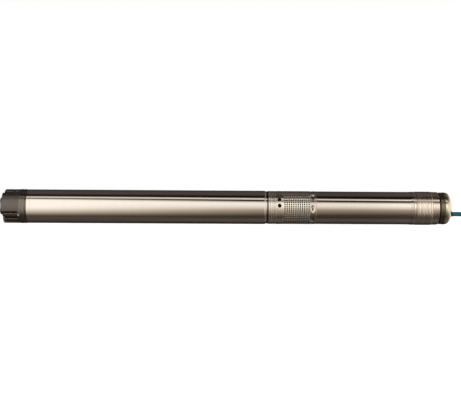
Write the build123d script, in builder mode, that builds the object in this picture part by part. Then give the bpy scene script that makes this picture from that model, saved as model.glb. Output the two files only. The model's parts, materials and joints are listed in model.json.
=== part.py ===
from build123d import *
from math import cos, sin, tan, radians
import os

os.makedirs("parts", exist_ok=True)

# ---------------------------------------------------------------------------
# Borehole submersible pump, lying along X with the discharge head at -X.
# Millimetres. Stations s run along the pump axis, from the discharge rim at
# S_RIM to the gland's outer end at S_END, with 0 at the moulded head's front.
# X = s - HALF, the axis is AXIS_Z above the surface the pump lies on.
# Angles phi are measured round the axis from the -Y side, upward positive.
# ---------------------------------------------------------------------------

# overall
S_RIM = -5.0              # discharge rim, the steel ring's front
S_END = 1313.0            # outer end of the cable gland
HALF = (S_END + S_RIM) / 2
R_COLLAR = 49.5           # largest radius, the head's collar
AXIS_Z = R_COLLAR

# discharge head
R_HEAD = 48.9
R_PORT = 19.5             # parallel pipe thread, 1 1/4 inch, plain minor bore
S_INSERT = 26.0
S_COLLAR = 55.0
S_SHELL = 75.0            # head collar ends, pump shell starts
R_SPIGOT = 46.9
LOBES = 3
PHI_RECESS = -43.6        # middle of the recess that faces down and forward
ROPE_R = 3.5
ROPE_DEPTH = 43.0
S_ROPE = 40.0

# check valve
R_CHAMBER = 27.0
S_SEAT = 76.0
VALVE_TRAVEL = 8.0
R_STEM = 3.0

# pump section
R_SHELL = 48.8
SHELL_WALL = 1.6
S_SHELL_END = 765.5
STAGES = 20
PITCH = 30.125
S_STAGE = 126.0
R_BOWL = 46.9
R_SHAFT = 8.0
RUN = 0.06                # radial running clearance of journals
R_EYE = 19.3

# suction bracket and strainer
S_RING = 769.5
S_BAND = 793.5
S_SCREEN = 812.0
S_SCREEN_END = 889.2
S_MOTOR = 907.5
R_SCREEN = 48.15
SCREEN_WALL = 1.0
HOLE_D = 4.8
HOLE_COLS = 12
HOLE_ROWS = 48
HOLE_PITCH = 6.3
DIMPLES = 8
PHI_DIMPLE = -5.0
STUD_PCD = 76.2
STUD_R = 4.0
PHI_STUD = 17.5

# motor
R_MOTOR = 47.8
R_MOTOR_IN = 46.3
S_MOTOR_END = 1190.5
S_CORE = 960.5
S_CORE_END = 1117.5
R_BORE = 23.3
SLOTS = 24
R_BELL = 48.95
S_RIDGE = 1199.5
RIDGES = 11
RIDGE_PITCH = 4.2
S_BELL_END = 1265.5
S_CAP = 1270.0
S_CAP_END = 1303.0
R_CAP = 47.0

# motor lead
CABLE_R = 6.4
CABLE_DROP = 16.8         # the lead leaves this far below the axis
COIL_X = 824.0            # middle of the wound lead
COIL_Y = 48.0
R_OUTER = 70.4            # the two turns that lie on the surface, and the one on top
R_INNER = 57.6
R_TOP = 64.0
Z_TOP = 17.5
TOP_START = 135.0         # the top turn, in degrees round the coil
TOP_END = 460.0

MID = Plane(origin=(0, 0, AXIS_Z), x_dir=(1, 0, 0), z_dir=(0, -1, 0))
PUMP_AXIS = Axis((0, 0, AXIS_Z), (1, 0, 0))


def at(points):
    """(station, radius) pairs as local points of MID."""
    return [(s - HALF, r) for s, r in points]


def cross(s):
    """Plane across the axis at station s, local x along +Y and local y along +Z."""
    return Plane(origin=(s - HALF, 0, AXIS_Z), x_dir=(0, 1, 0), z_dir=(1, 0, 0))


def facet(s, phi, r):
    """Plane tangent to radius r at station s and angle phi, facing outward."""
    a = radians(phi)
    return Plane(
        origin=(s - HALF, -r * cos(a), AXIS_Z + r * sin(a)),
        x_dir=(1, 0, 0),
        z_dir=(0, -cos(a), sin(a)),
    )


def pol(r, deg):
    return (r * cos(radians(deg)), r * sin(radians(deg)))


# ---------------------------------------------------------------------------
# Discharge head
# ---------------------------------------------------------------------------

# steel ring with the pipe thread, moulded into the plastic head
with BuildPart() as thread_insert:
    with BuildSketch(MID):
        with BuildLine():
            Polyline(
                *at([
                    (S_RIM + 1.2, R_PORT), (S_RIM, 20.7), (S_RIM, 23.6), (S_RIM + 0.8, 24.4), (1.5, 24.4),
                    (1.5, 25.0), (S_INSERT, 25.0), (S_INSERT, R_PORT),
                ]),
                close=True,
            )
        make_face()
    revolve(axis=PUMP_AXIS)
thread_insert.part.label = "thread_insert"
export_step(thread_insert.part, "parts/thread_insert.step")

# moulded head: slightly domed front, three lobes, paired ribs between them, collar, spigot
with BuildPart() as discharge_head:
    with BuildSketch(MID):
        with BuildLine():
            Polyline(
                *at([
                    (1.5, 25.0), (1.5, 27.5), (2.4, 34.0), (3.8, 41.0), (4.8, 46.0),
                    (5.6, 48.2), (6.6, R_HEAD), (54.2, R_HEAD),
                    (S_COLLAR, R_COLLAR), (74.0, R_COLLAR), (S_SHELL, 49.0),
                    (S_SHELL, R_SPIGOT), (86.0, R_SPIGOT), (86.0, 44.6),
                    (90.0, 44.6), (90.0, R_SPIGOT), (101.0, R_SPIGOT), (101.0, 42.0),
                    (88.0, 28.95), (84.2, 28.95), (84.2, 30.4), (82.2, 30.4),
                    (82.2, 28.95), (S_SEAT, 28.95), (S_SEAT, R_CHAMBER),
                    (34.0, R_CHAMBER), (34.0, 22.0), (S_INSERT, 22.0),
                    (S_INSERT, 25.0),
                ]),
                close=True,
            )
        make_face()
    revolve(axis=PUMP_AXIS)
    # side grooves and the wider middle groove of each recess
    for phi, width in ((PHI_RECESS + 21.6, 5.1), (PHI_RECESS, 8.7), (PHI_RECESS - 21.6, 5.1)):
        with BuildSketch(cross(0)):
            with PolarLocations(47.5, LOBES, start_angle=180 - phi):
                SlotOverall(21.0, width)
        extrude(amount=50.0, mode=Mode.SUBTRACT)
    # the ribs start a little further back than the lobes
    with BuildSketch(cross(0)):
        for k in range(LOBES):
            a = 180 - PHI_RECESS + 120 * k
            with BuildLine():
                Polyline(pol(31, a - 23), pol(62, a - 23), pol(62, a + 23), pol(31, a + 23), close=True)
            make_face()
    extrude(amount=7.5, mode=Mode.SUBTRACT)
    # rope holes, straight through both ribs of a recess, run out as channels in the lobes
    for k in range(LOBES):
        a = radians(PHI_RECESS + 120 * k)
        with BuildSketch(
            Plane(
                origin=(S_ROPE - HALF, -ROPE_DEPTH * cos(a), AXIS_Z + ROPE_DEPTH * sin(a)),
                x_dir=(1, 0, 0),
                z_dir=(0, sin(a), cos(a)),
            )
        ):
            Circle(ROPE_R)
        extrude(amount=32.0, both=True, mode=Mode.SUBTRACT)
    # seat of the drain screw
    with BuildSketch(facet(52.6, PHI_RECESS + 11.0, 60)):
        Circle(3.5)
    extrude(amount=-13.2, mode=Mode.SUBTRACT)
    with BuildSketch(facet(52.6, PHI_RECESS + 11.0, 60)):
        Circle(1.75)
    extrude(amount=-35.0, mode=Mode.SUBTRACT)
discharge_head.part.label = "discharge_head"
export_step(discharge_head.part, "parts/discharge_head.step")

# small steel drain screw of the valve chamber
with BuildPart() as drain_screw:
    with BuildSketch(facet(52.6, PHI_RECESS + 11.0, 46.8)):
        Circle(3.2)
    extrude(amount=2.3)
    with BuildSketch(facet(52.6, PHI_RECESS + 11.0, 27.6)):
        Circle(1.7)
    extrude(amount=19.2)
    fillet(drain_screw.edges().filter_by(GeomType.CIRCLE).group_by(lambda e: -(e.arc_center - Vector(0, 0, AXIS_Z)).length)[0].group_by(lambda e: e.radius)[-1], 0.9)
    with BuildSketch(facet(52.6, PHI_RECESS + 11.0, 49.2)):
        RegularPolygon(1.3, 6)
    extrude(amount=-1.3, mode=Mode.SUBTRACT)
drain_screw.part.label = "drain_screw"
export_step(drain_screw.part, "parts/drain_screw.step")

# ---------------------------------------------------------------------------
# Check valve in the head
# ---------------------------------------------------------------------------

# spider that guides the valve stem
with BuildPart() as valve_guide:
    with BuildSketch(cross(34.0)):
        Circle(26.9)
        Circle(24.0, mode=Mode.SUBTRACT)
        with PolarLocations(0, 3, start_angle=90):
            with Locations((15.5, 0)):
                Rectangle(19.0, 3.0)
        Circle(7.0)
        Circle(R_STEM + RUN, mode=Mode.SUBTRACT)
    extrude(amount=4.0)
    with BuildSketch(cross(38.0)):
        Circle(7.0)
        Circle(R_STEM + RUN, mode=Mode.SUBTRACT)
    extrude(amount=8.0)
valve_guide.part.label = "valve_guide"
export_step(valve_guide.part, "parts/valve_guide.step")

# closing spring round the stem
with BuildPart() as valve_spring:
    with BuildLine() as spring_line:
        Helix(pitch=3.75, height=22.5, radius=5.0, center=(46.75 - HALF, 0, AXIS_Z), direction=(1, 0, 0))
    with BuildSketch(Plane(origin=spring_line.line @ 0, z_dir=spring_line.line % 0)):
        Circle(0.6)
    sweep(is_frenet=True)
valve_spring.part.label = "valve_spring"
export_step(valve_spring.part, "parts/valve_spring.step")

# poppet: disc, nose and stem in one turning
with BuildPart() as valve_poppet:
    with BuildSketch(MID):
        with BuildLine():
            Polyline(
                *at([
                    (36.0, 0), (36.0, R_STEM - 0.5), (36.5, R_STEM), (69.9, R_STEM),
                    (69.9, 23.0), (70.9, 24.0), (73.0, 24.0), (74.0, 23.4),
                    (74.0, 18.3), (76.4, 18.3 - 1.9), (80.0, 13.0), (84.0, 5.0), (85.0, 0),
                ]),
                close=True,
            )
        make_face()
    revolve(axis=PUMP_AXIS)
valve_poppet.part.label = "valve_poppet"
export_step(valve_poppet.part, "parts/valve_poppet.step")

# rubber face of the poppet
with BuildPart() as poppet_seal:
    with BuildSketch(MID):
        with BuildLine():
            Polyline(*at([(74.0, 18.4), (74.0, 23.4), (75.2, 23.4), (S_SEAT, 22.6), (S_SEAT, 19.0), (75.4, 18.4)]), close=True)
        make_face()
    revolve(axis=PUMP_AXIS)
poppet_seal.part.label = "poppet_seal"
export_step(poppet_seal.part, "parts/poppet_seal.step")

# steel seat pushed against the chamber's shoulder
with BuildPart() as valve_seat:
    with BuildSketch(MID):
        with BuildLine():
            Polyline(*at([(S_SEAT, 18.0), (S_SEAT, 28.85), (82.2, 28.85), (82.2, 20.0), (80.0, 18.0)]), close=True)
        make_face()
    revolve(axis=PUMP_AXIS)
valve_seat.part.label = "valve_seat"
export_step(valve_seat.part, "parts/valve_seat.step")

# open spring ring behind the seat
with BuildPart() as seat_retaining_ring:
    with BuildSketch(cross(82.3)):
        Circle(30.2)
        Circle(26.6, mode=Mode.SUBTRACT)
        with Locations((28.5, 0)):
            Rectangle(8, 7, mode=Mode.SUBTRACT)
    extrude(amount=1.8)
seat_retaining_ring.part.label = "seat_retaining_ring"
export_step(seat_retaining_ring.part, "parts/seat_retaining_ring.step")

# ---------------------------------------------------------------------------
# Pump shell and the two O-rings in its ends
# ---------------------------------------------------------------------------
with BuildPart() as pump_shell:
    with BuildSketch(MID):
        with BuildLine():
            Polyline(
                *at([
                    (S_SHELL + 0.2, R_SHELL - SHELL_WALL), (S_SHELL + 0.2, R_SHELL - 0.6),
                    (S_SHELL + 0.8, R_SHELL), (84.6, R_SHELL), (85.0, R_SHELL - 0.2),
                    (85.4, R_SHELL), (760.1, R_SHELL), (760.6, R_SHELL - 0.25),
                    (761.1, R_SHELL), (S_SHELL_END - 1.6, R_SHELL),
                    (S_SHELL_END, R_SHELL - 0.7), (S_SHELL_END, R_SHELL - SHELL_WALL),
                ]),
                close=True,
            )
        make_face()
    revolve(axis=PUMP_AXIS)
pump_shell.part.label = "pump_shell"
export_step(pump_shell.part, "parts/pump_shell.step")

with BuildPart() as shell_o_rings:
    with BuildSketch(MID):
        with Locations((88.0 - HALF, 45.9), (753.5 - HALF, 45.9)):
            Circle(1.25)
    revolve(axis=PUMP_AXIS)
shell_o_rings.part.label = "shell_o_rings"
export_step(shell_o_rings.part, "parts/shell_o_rings.step")

# ---------------------------------------------------------------------------
# Shaft bearing above the stages
# ---------------------------------------------------------------------------
with BuildPart() as top_bearing_carrier:
    with BuildSketch(cross(101.0)):
        Circle(R_BOWL)
        Circle(43.6, mode=Mode.SUBTRACT)
    extrude(amount=25.0)
    with BuildSketch(cross(105.0)):
        Circle(16.5)
        with PolarLocations(0, 4, start_angle=45):
            with Locations((30.0, 0)):
                Rectangle(29.0, 4.0)
    extrude(amount=18.0)
    with BuildSketch(cross(99.0)):
        Circle(13.05)
    extrude(amount=30.0, mode=Mode.SUBTRACT)
top_bearing_carrier.part.label = "top_bearing_carrier"
export_step(top_bearing_carrier.part, "parts/top_bearing_carrier.step")

with BuildPart() as top_bearing_bush:
    with BuildSketch(cross(105.0)):
        Circle(13.0)
        Circle(R_SHAFT + RUN, mode=Mode.SUBTRACT)
    extrude(amount=18.0)
top_bearing_bush.part.label = "top_bearing_bush"
export_step(top_bearing_bush.part, "parts/top_bearing_bush.step")

# ---------------------------------------------------------------------------
# Stages: bowl with return vanes, wear ring, closed impeller, spacer sleeve
# ---------------------------------------------------------------------------
with BuildPart() as bowl:
    with BuildSketch(cross(S_STAGE)):
        Circle(R_BOWL)
        Circle(44.0, mode=Mode.SUBTRACT)
    extrude(amount=PITCH)
    with BuildSketch(cross(S_STAGE)):
        Circle(44.5)
        Circle(R_EYE, mode=Mode.SUBTRACT)
    extrude(amount=2.0)
    with BuildSketch(cross(S_STAGE + 9.0)):
        Circle(38.5)
    extrude(amount=2.0)
    with BuildSketch(cross(S_STAGE + 1.5)):
        for k in range(6):
            a = 60 * k
            with BuildLine():
                ThreePointArc(pol(20.5, a), pol(30, a + 16), pol(44.3, a + 44))
                Line(pol(44.3, a + 44), pol(44.3, a + 46.4))
                ThreePointArc(pol(44.3, a + 46.4), pol(30, a + 19.8), pol(20.5, a + 5.6))
                Line(pol(20.5, a + 5.6), pol(20.5, a))
            make_face()
    extrude(amount=8.0)
    with BuildSketch(cross(S_STAGE)):
        Circle(10.5)
    extrude(amount=20.0, mode=Mode.SUBTRACT)

with BuildPart() as diffuser_bowls:
    with Locations(*[(PITCH * i, 0, 0) for i in range(STAGES)]):
        add(bowl.part, clean=False)
diffuser_bowls.part.label = "diffuser_bowls"
export_step(diffuser_bowls.part, "parts/diffuser_bowls.step")

with BuildPart() as wear_rings:
    for i in range(1, STAGES + 1):
        with BuildSketch(cross(S_STAGE + PITCH * i)):
            Circle(R_EYE - 0.05)
            Circle(18.35, mode=Mode.SUBTRACT)
        extrude(amount=2.0)
wear_rings.part.label = "wear_rings"
export_step(wear_rings.part, "parts/wear_rings.step")

with BuildPart() as impeller:
    with BuildSketch(MID):
        with BuildLine():
            Polyline(
                *at([
                    (S_STAGE + 12.5, R_SHAFT + 0.03), (S_STAGE + 12.5, 40.0),
                    (S_STAGE + 14.3, 40.0), (S_STAGE + 14.3, 17.0), (S_STAGE + 17.0, 11.5),
                    (S_STAGE + 25.0, 11.0), (S_STAGE + 25.0, R_SHAFT + 0.03),
                ]),
                close=True,
            )
        make_face()
    revolve(axis=PUMP_AXIS)
    with BuildSketch(MID):
        with BuildLine():
            Polyline(
                *at([
                    (S_STAGE + 21.0, 40.0), (S_STAGE + 22.6, 40.0), (S_STAGE + 24.6, 18.0),
                    (S_STAGE + 32.6, 18.0), (S_STAGE + 32.6, 16.8), (S_STAGE + 23.2, 16.8),
                ]),
                close=True,
            )
        make_face()
    revolve(axis=PUMP_AXIS)
    with BuildSketch(cross(S_STAGE + 13.5)):
        for k in range(6):
            a = 60 * k
            with BuildLine():
                ThreePointArc(pol(17.5, a), pol(28, a - 20), pol(39.6, a - 50))
                Line(pol(39.6, a - 50), pol(39.6, a - 52.4))
                ThreePointArc(pol(39.6, a - 52.4), pol(28, a - 23.6), pol(17.5, a - 5.6))
                Line(pol(17.5, a - 5.6), pol(17.5, a))
            make_face()
    extrude(amount=8.4)
impellers_pitch = [(PITCH * i, 0, 0) for i in range(STAGES)]
with BuildPart() as impellers:
    with Locations(*impellers_pitch):
        add(impeller.part, clean=False)
impellers.part.label = "impellers"
export_step(impellers.part, "parts/impellers.step")

with BuildPart() as spacer_sleeves:
    for i in range(STAGES):
        with BuildSketch(cross(S_STAGE + PITCH * i + 25.0)):
            Circle(10.0)
            Circle(R_SHAFT + 0.03, mode=Mode.SUBTRACT)
        extrude(amount=PITCH - 12.5)
spacer_sleeves.part.label = "spacer_sleeves"
export_step(spacer_sleeves.part, "parts/spacer_sleeves.step")

# nut that clamps the impeller stack against the shaft's collar
with BuildPart() as shaft_nut:
    with BuildSketch(cross(125.0)):
        Circle(9.9)
        Circle(R_SHAFT + 0.03, mode=Mode.SUBTRACT)
    extrude(amount=13.5)
    with BuildSketch(cross(125.0)):
        with Locations((0, 10.4), (0, -10.4)):
            Rectangle(20, 2.4)
    extrude(amount=6.0, mode=Mode.SUBTRACT)
shaft_nut.part.label = "shaft_nut"
export_step(shaft_nut.part, "parts/shaft_nut.step")

# pump shaft with its collar behind the last sleeve
S_LAST = S_STAGE + PITCH * (STAGES - 1) + 12.5 + PITCH
with BuildPart() as pump_shaft:
    with BuildSketch(MID):
        with BuildLine():
            Polyline(
                *at([
                    (103.0, 0), (103.0, 7.2), (103.8, R_SHAFT), (S_LAST, R_SHAFT),
                    (S_LAST, 11.0), (S_LAST + 5, 11.0), (S_LAST + 5, R_SHAFT),
                    (846.9, R_SHAFT), (847.5, 7.4), (847.5, 0),
                ]),
                close=True,
            )
        make_face()
    revolve(axis=PUMP_AXIS)
pump_shaft.part.label = "pump_shaft"
export_step(pump_shaft.part, "parts/pump_shaft.step")

# ---------------------------------------------------------------------------
# Suction bracket: spigot, ribbed ring, band, pillars, motor flange
# ---------------------------------------------------------------------------
ring_outline = [(S_RING, 47.7), (S_RING + 0.6, 48.3)]
for i in range(4):
    g = S_RING + 3.6 + 5.2 * i
    ring_outline += [(g, 48.3), (g + 0.7, 47.75), (g + 1.5, 47.75), (g + 2.2, 48.3)]
with BuildPart() as suction_bracket:
    with BuildSketch(MID):
        with BuildLine():
            Polyline(
                *at(
                    [
                        (728.5, R_EYE), (728.5, R_SPIGOT), (751.5, R_SPIGOT), (751.5, 44.6),
                        (755.5, 44.6), (755.5, R_SPIGOT), (S_SHELL_END - 1, R_SPIGOT),
                        (S_SHELL_END, 47.1), (S_RING, 47.1),
                    ]
                    + ring_outline
                    + [
                        (S_BAND - 1.2, 48.3), (S_BAND - 0.6, 47.7), (S_BAND, 47.7),
                        (S_BAND + 0.5, 48.3), (S_SCREEN - 0.6, 48.3), (S_SCREEN, 47.9),
                        (S_SCREEN, R_SPIGOT), (S_SCREEN + 2.6, R_SPIGOT), (S_SCREEN + 2.6, 38.0),
                        (734.5, 38.0), (730.5, R_EYE + 6), (730.5, R_EYE),
                    ]
                ),
                close=True,
            )
        make_face()
    revolve(axis=PUMP_AXIS)
    # bearing hub and its three arms
    with BuildSketch(cross(754.5)):
        Circle(15.5)
        with PolarLocations(0, 3, start_angle=30):
            with Locations((26.5, 0)):
                Rectangle(25.0, 4.0)
    extrude(amount=22.0)
    with BuildSketch(cross(746.5)):
        Circle(12.05)
    extrude(amount=40.0, mode=Mode.SUBTRACT)
    # four pillars between the suction openings
    with BuildSketch(cross(S_SCREEN + 1.0)):
        with PolarLocations(41.8, 4, start_angle=180 - PHI_STUD + 45):
            RectangleRounded(9.0, 14.0, 2.0)
    extrude(amount=67.0)
    # flange that sits on the motor
    with BuildSketch(cross(878.5)):
        Circle(46.9)
        Circle(20.0, mode=Mode.SUBTRACT)
    extrude(amount=8.0)
    with BuildSketch(cross(886.5)):
        Circle(43.5)
        Circle(20.0, mode=Mode.SUBTRACT)
    extrude(amount=4.0)
    with BuildSketch(cross(875.5)):
        with PolarLocations(STUD_PCD / 2, 4, start_angle=180 - PHI_STUD):
            Circle(STUD_R + 0.3)
    extrude(amount=20.0, mode=Mode.SUBTRACT)
    # two priming holes in the band
    for phi in (28.0, 6.3):
        with BuildSketch(facet(801.3, phi, 55)):
            Circle(5.6)
        extrude(amount=-20.0, mode=Mode.SUBTRACT)
    # tapped hole of the guard screw
    with BuildSketch(facet(799.5, -87.0, 55)):
        Circle(1.55)
    extrude(amount=-15.0, mode=Mode.SUBTRACT)
suction_bracket.part.label = "suction_bracket"
export_step(suction_bracket.part, "parts/suction_bracket.step")

with BuildPart() as suction_bearing_bush:
    with BuildSketch(cross(754.5)):
        Circle(12.0)
        Circle(R_SHAFT + RUN, mode=Mode.SUBTRACT)
    extrude(amount=22.0)
suction_bearing_bush.part.label = "suction_bearing_bush"
export_step(suction_bearing_bush.part, "parts/suction_bearing_bush.step")

# rubber plugs sunk in the priming holes
with BuildPart() as priming_plugs:
    for phi in (28.0, 6.3):
        with BuildSketch(facet(801.3, phi, 38.6)):
            Circle(5.55)
        extrude(amount=4.4)
        with BuildSketch(facet(801.3, phi, 43.0)):
            RegularPolygon(2.6, 6)
        extrude(amount=-2.4, mode=Mode.SUBTRACT)
priming_plugs.part.label = "priming_plugs"
export_step(priming_plugs.part, "parts/priming_plugs.step")

with BuildPart() as guard_screw:
    with BuildSketch(facet(799.5, -87.0, 48.3)):
        Circle(3.0)
    extrude(amount=1.0, taper=20)
    with BuildSketch(facet(799.5, -87.0, 41.0)):
        Circle(1.5)
    extrude(amount=7.3)
guard_screw.part.label = "guard_screw"
export_step(guard_screw.part, "parts/guard_screw.step")

# perforated strainer sleeve
S_HOLE0 = S_SCREEN + 4.9
with BuildPart() as strainer_screen:
    with BuildSketch(cross(S_SCREEN)):
        Circle(R_SCREEN)
        Circle(R_SCREEN - SCREEN_WALL, mode=Mode.SUBTRACT)
    extrude(amount=S_SCREEN_END - S_SCREEN)
    hole_places = []
    for i in range(HOLE_ROWS):
        for j in range(HOLE_COLS):
            hole_places.append(
                facet(S_HOLE0 + HOLE_PITCH * j, PHI_DIMPLE + 360.0 * i / HOLE_ROWS, R_SCREEN - 0.5).location
            )
    with Locations(*hole_places):
        Cylinder(HOLE_D / 2, 3.4, mode=Mode.SUBTRACT)
strainer_screen.part.label = "strainer_screen"
export_step(strainer_screen.part, "parts/strainer_screen.step")

# collar with eight pressed dimples over the flange joint
with BuildPart() as strainer_collar:
    with BuildSketch(MID):
        with BuildLine():
            Polyline(
                *at([
                    (S_SCREEN_END, 43.8), (S_SCREEN_END, 47.8), (S_SCREEN_END + 0.5, 48.2),
                    (S_MOTOR - 0.8, 48.2), (S_MOTOR, 47.4), (S_MOTOR, 43.8),
                ]),
                close=True,
            )
        make_face()
    revolve(axis=PUMP_AXIS)
    dimple_places = [facet(897.5, PHI_DIMPLE + 45.0 * i, 57.2).location for i in range(DIMPLES)]
    with Locations(*dimple_places):
        Sphere(12.0, mode=Mode.SUBTRACT)
    screw_places = [facet(897.5, PHI_DIMPLE + 45.0 * i, 44.0).location for i in range(DIMPLES)]
    with Locations(*screw_places):
        Cylinder(1.6, 6.0, mode=Mode.SUBTRACT)
strainer_collar.part.label = "strainer_collar"
export_step(strainer_collar.part, "parts/strainer_collar.step")

with BuildPart() as collar_screws:
    for i in range(DIMPLES):
        with BuildSketch(facet(897.5, PHI_DIMPLE + 45.0 * i, 45.2)):
            Circle(2.6)
        extrude(amount=1.5, taper=12)
        with BuildSketch(facet(897.5, PHI_DIMPLE + 45.0 * i, 40.5)):
            Circle(1.45)
        extrude(amount=4.9)
collar_screws.part.label = "collar_screws"
export_step(collar_screws.part, "parts/collar_screws.step")

# ---------------------------------------------------------------------------
# Coupling, slinger, studs and nuts between pump and motor
# ---------------------------------------------------------------------------
with BuildPart() as shaft_coupling:
    with BuildSketch(cross(827.5)):
        Circle(12.5)
        Circle(R_SHAFT + 0.03, mode=Mode.SUBTRACT)
    extrude(amount=42.0)
    chamfer(shaft_coupling.edges().filter_by(GeomType.CIRCLE).group_by(lambda e: e.radius)[-1], 1.0)
shaft_coupling.part.label = "shaft_coupling"
export_step(shaft_coupling.part, "parts/shaft_coupling.step")

with BuildPart() as sand_slinger:
    with BuildSketch(MID):
        with BuildLine():
            Polyline(
                *at([(879.5, R_SHAFT + 0.03), (879.5, 11.0), (885.5, 11.5), (886.5, 17.5), (889.0, 17.5), (889.0, R_SHAFT + 0.03)]),
                close=True,
            )
        make_face()
    revolve(axis=PUMP_AXIS)
sand_slinger.part.label = "sand_slinger"
export_step(sand_slinger.part, "parts/sand_slinger.step")

with BuildPart() as motor_studs:
    with BuildSketch(cross(865.5)):
        with PolarLocations(STUD_PCD / 2, 4, start_angle=180 - PHI_STUD):
            Circle(STUD_R)
    extrude(amount=54.0)
motor_studs.part.label = "motor_studs"
export_step(motor_studs.part, "parts/motor_studs.step")

with BuildPart() as stud_nuts:
    with BuildSketch(cross(871.5)):
        with PolarLocations(STUD_PCD / 2, 4, start_angle=180 - PHI_STUD):
            RegularPolygon(6.5, 6, major_radius=False)
            Circle(STUD_R + 0.03, mode=Mode.SUBTRACT)
    extrude(amount=7.0)
stud_nuts.part.label = "stud_nuts"
export_step(stud_nuts.part, "parts/stud_nuts.step")

# ---------------------------------------------------------------------------
# Motor, upper end
# ---------------------------------------------------------------------------
with BuildPart() as seal_rotor:
    with BuildSketch(MID):
        with BuildLine():
            Polyline(
                *at([(889.7, R_SHAFT + 0.03), (889.7, 11.0), (893.0, 11.0), (893.0, 13.0), (896.5, 12.4), (896.5, 9.8), (895.5, 9.8), (895.5, R_SHAFT + 0.03)]),
                close=True,
            )
        make_face()
    revolve(axis=PUMP_AXIS)
seal_rotor.part.label = "seal_rotor"
export_step(seal_rotor.part, "parts/seal_rotor.step")

with BuildPart() as seal_seat:
    with BuildSketch(cross(896.5)):
        Circle(15.0)
        Circle(9.5, mode=Mode.SUBTRACT)
    extrude(amount=5.0)
seal_seat.part.label = "seal_seat"
export_step(seal_seat.part, "parts/seal_seat.step")

with BuildPart() as motor_top_bracket:
    with BuildSketch(MID):
        with BuildLine():
            Polyline(
                *at([
                    (890.5, 16.0), (890.5, 43.5), (S_MOTOR, 43.5), (S_MOTOR, 46.2),
                    (935.5, 46.2), (935.5, 42.0), (915.5, 42.0), (915.5, 17.0),
                    (935.5, 17.0), (935.5, 12.55), (911.5, 12.55), (911.5, 10.5),
                    (901.5, 10.5), (901.5, 15.05), (896.5, 15.05), (896.5, 16.0),
                ]),
                close=True,
            )
        make_face()
    revolve(axis=PUMP_AXIS)
    with BuildSketch(cross(915.5)):
        with PolarLocations(STUD_PCD / 2, 4, start_angle=180 - PHI_STUD):
            Circle(8.0)
    extrude(amount=8.0)
    with BuildSketch(cross(885.5)):
        with PolarLocations(STUD_PCD / 2, 4, start_angle=180 - PHI_STUD):
            Circle(STUD_R + 0.05)
    extrude(amount=35.0, mode=Mode.SUBTRACT)
    tap_places = [facet(897.5, PHI_DIMPLE + 45.0 * i, 42.5).location for i in range(DIMPLES)]
    with Locations(*tap_places):
        Cylinder(1.55, 6.0, mode=Mode.SUBTRACT)
motor_top_bracket.part.label = "motor_top_bracket"
export_step(motor_top_bracket.part, "parts/motor_top_bracket.step")

with BuildPart() as upper_bearing_bush:
    with BuildSketch(cross(911.5)):
        Circle(12.5)
        Circle(9.0 + RUN, mode=Mode.SUBTRACT)
    extrude(amount=22.0)
upper_bearing_bush.part.label = "upper_bearing_bush"
export_step(upper_bearing_bush.part, "parts/upper_bearing_bush.step")

# motor shell, swaged a little wider where it meets the end bell
with BuildPart() as motor_shell:
    with BuildSketch(MID):
        with BuildLine():
            Polyline(
                *at([
                    (S_MOTOR, R_MOTOR_IN), (S_MOTOR, R_MOTOR - 0.5), (S_MOTOR + 0.6, R_MOTOR),
                    (1180.5, R_MOTOR), (1185.5, 48.3), (S_MOTOR_END - 0.5, 48.3),
                    (S_MOTOR_END, 47.8), (S_MOTOR_END, R_MOTOR_IN),
                ]),
                close=True,
            )
        make_face()
    revolve(axis=PUMP_AXIS)
motor_shell.part.label = "motor_shell"
export_step(motor_shell.part, "parts/motor_shell.step")

# ---------------------------------------------------------------------------
# Stator and rotor
# ---------------------------------------------------------------------------
with BuildPart() as stator_core:
    with BuildSketch(cross(S_CORE)):
        Circle(46.2)
        Circle(R_BORE, mode=Mode.SUBTRACT)
        with PolarLocations(31.5, SLOTS):
            SlotOverall(11.0, 4.4, mode=Mode.SUBTRACT)
    extrude(amount=S_CORE_END - S_CORE)
stator_core.part.label = "stator_core"
export_step(stator_core.part, "parts/stator_core.step")

with BuildPart() as stator_winding:
    with BuildSketch(cross(S_CORE - 1)):
        with PolarLocations(31.5, SLOTS):
            SlotOverall(10.4, 3.8)
    extrude(amount=S_CORE_END - S_CORE + 2)
    with BuildSketch(MID):
        with BuildLine():
            Polyline(*at([(941.5, 27.5), (941.5, 40.5), (943.5, 42.0), (959.5, 42.0), (959.5, 25.5), (944.5, 25.5)]), close=True)
        make_face()
        with BuildLine():
            Polyline(*at([(1118.5, 25.5), (1118.5, 42.0), (1137.5, 42.0), (1137.5, 27.5), (1134.5, 25.5)]), close=True)
        make_face()
    revolve(axis=PUMP_AXIS)
stator_winding.part.label = "stator_winding"
export_step(stator_winding.part, "parts/stator_winding.step")

with BuildPart() as stator_liner:
    with BuildSketch(cross(938.5)):
        Circle(23.2)
        Circle(22.6, mode=Mode.SUBTRACT)
    extrude(amount=202.0)
stator_liner.part.label = "stator_liner"
export_step(stator_liner.part, "parts/stator_liner.step")

with BuildPart() as rotor_core:
    with BuildSketch(cross(S_CORE)):
        Circle(22.0)
        Circle(12.03, mode=Mode.SUBTRACT)
        with PolarLocations(18.6, 18):
            Circle(1.7, mode=Mode.SUBTRACT)
    extrude(amount=S_CORE_END - S_CORE)
rotor_core.part.label = "rotor_core"
export_step(rotor_core.part, "parts/rotor_core.step")

with BuildPart() as rotor_cage:
    for s in (S_CORE - 6.0, S_CORE_END):
        with BuildSketch(cross(s)):
            Circle(21.6)
            Circle(14.0, mode=Mode.SUBTRACT)
        extrude(amount=6.0)
    with BuildSketch(cross(S_CORE - 1.0)):
        with PolarLocations(18.6, 18):
            Circle(1.6)
    extrude(amount=S_CORE_END - S_CORE + 2.0)
rotor_cage.part.label = "rotor_cage"
export_step(rotor_cage.part, "parts/rotor_cage.step")

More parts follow.
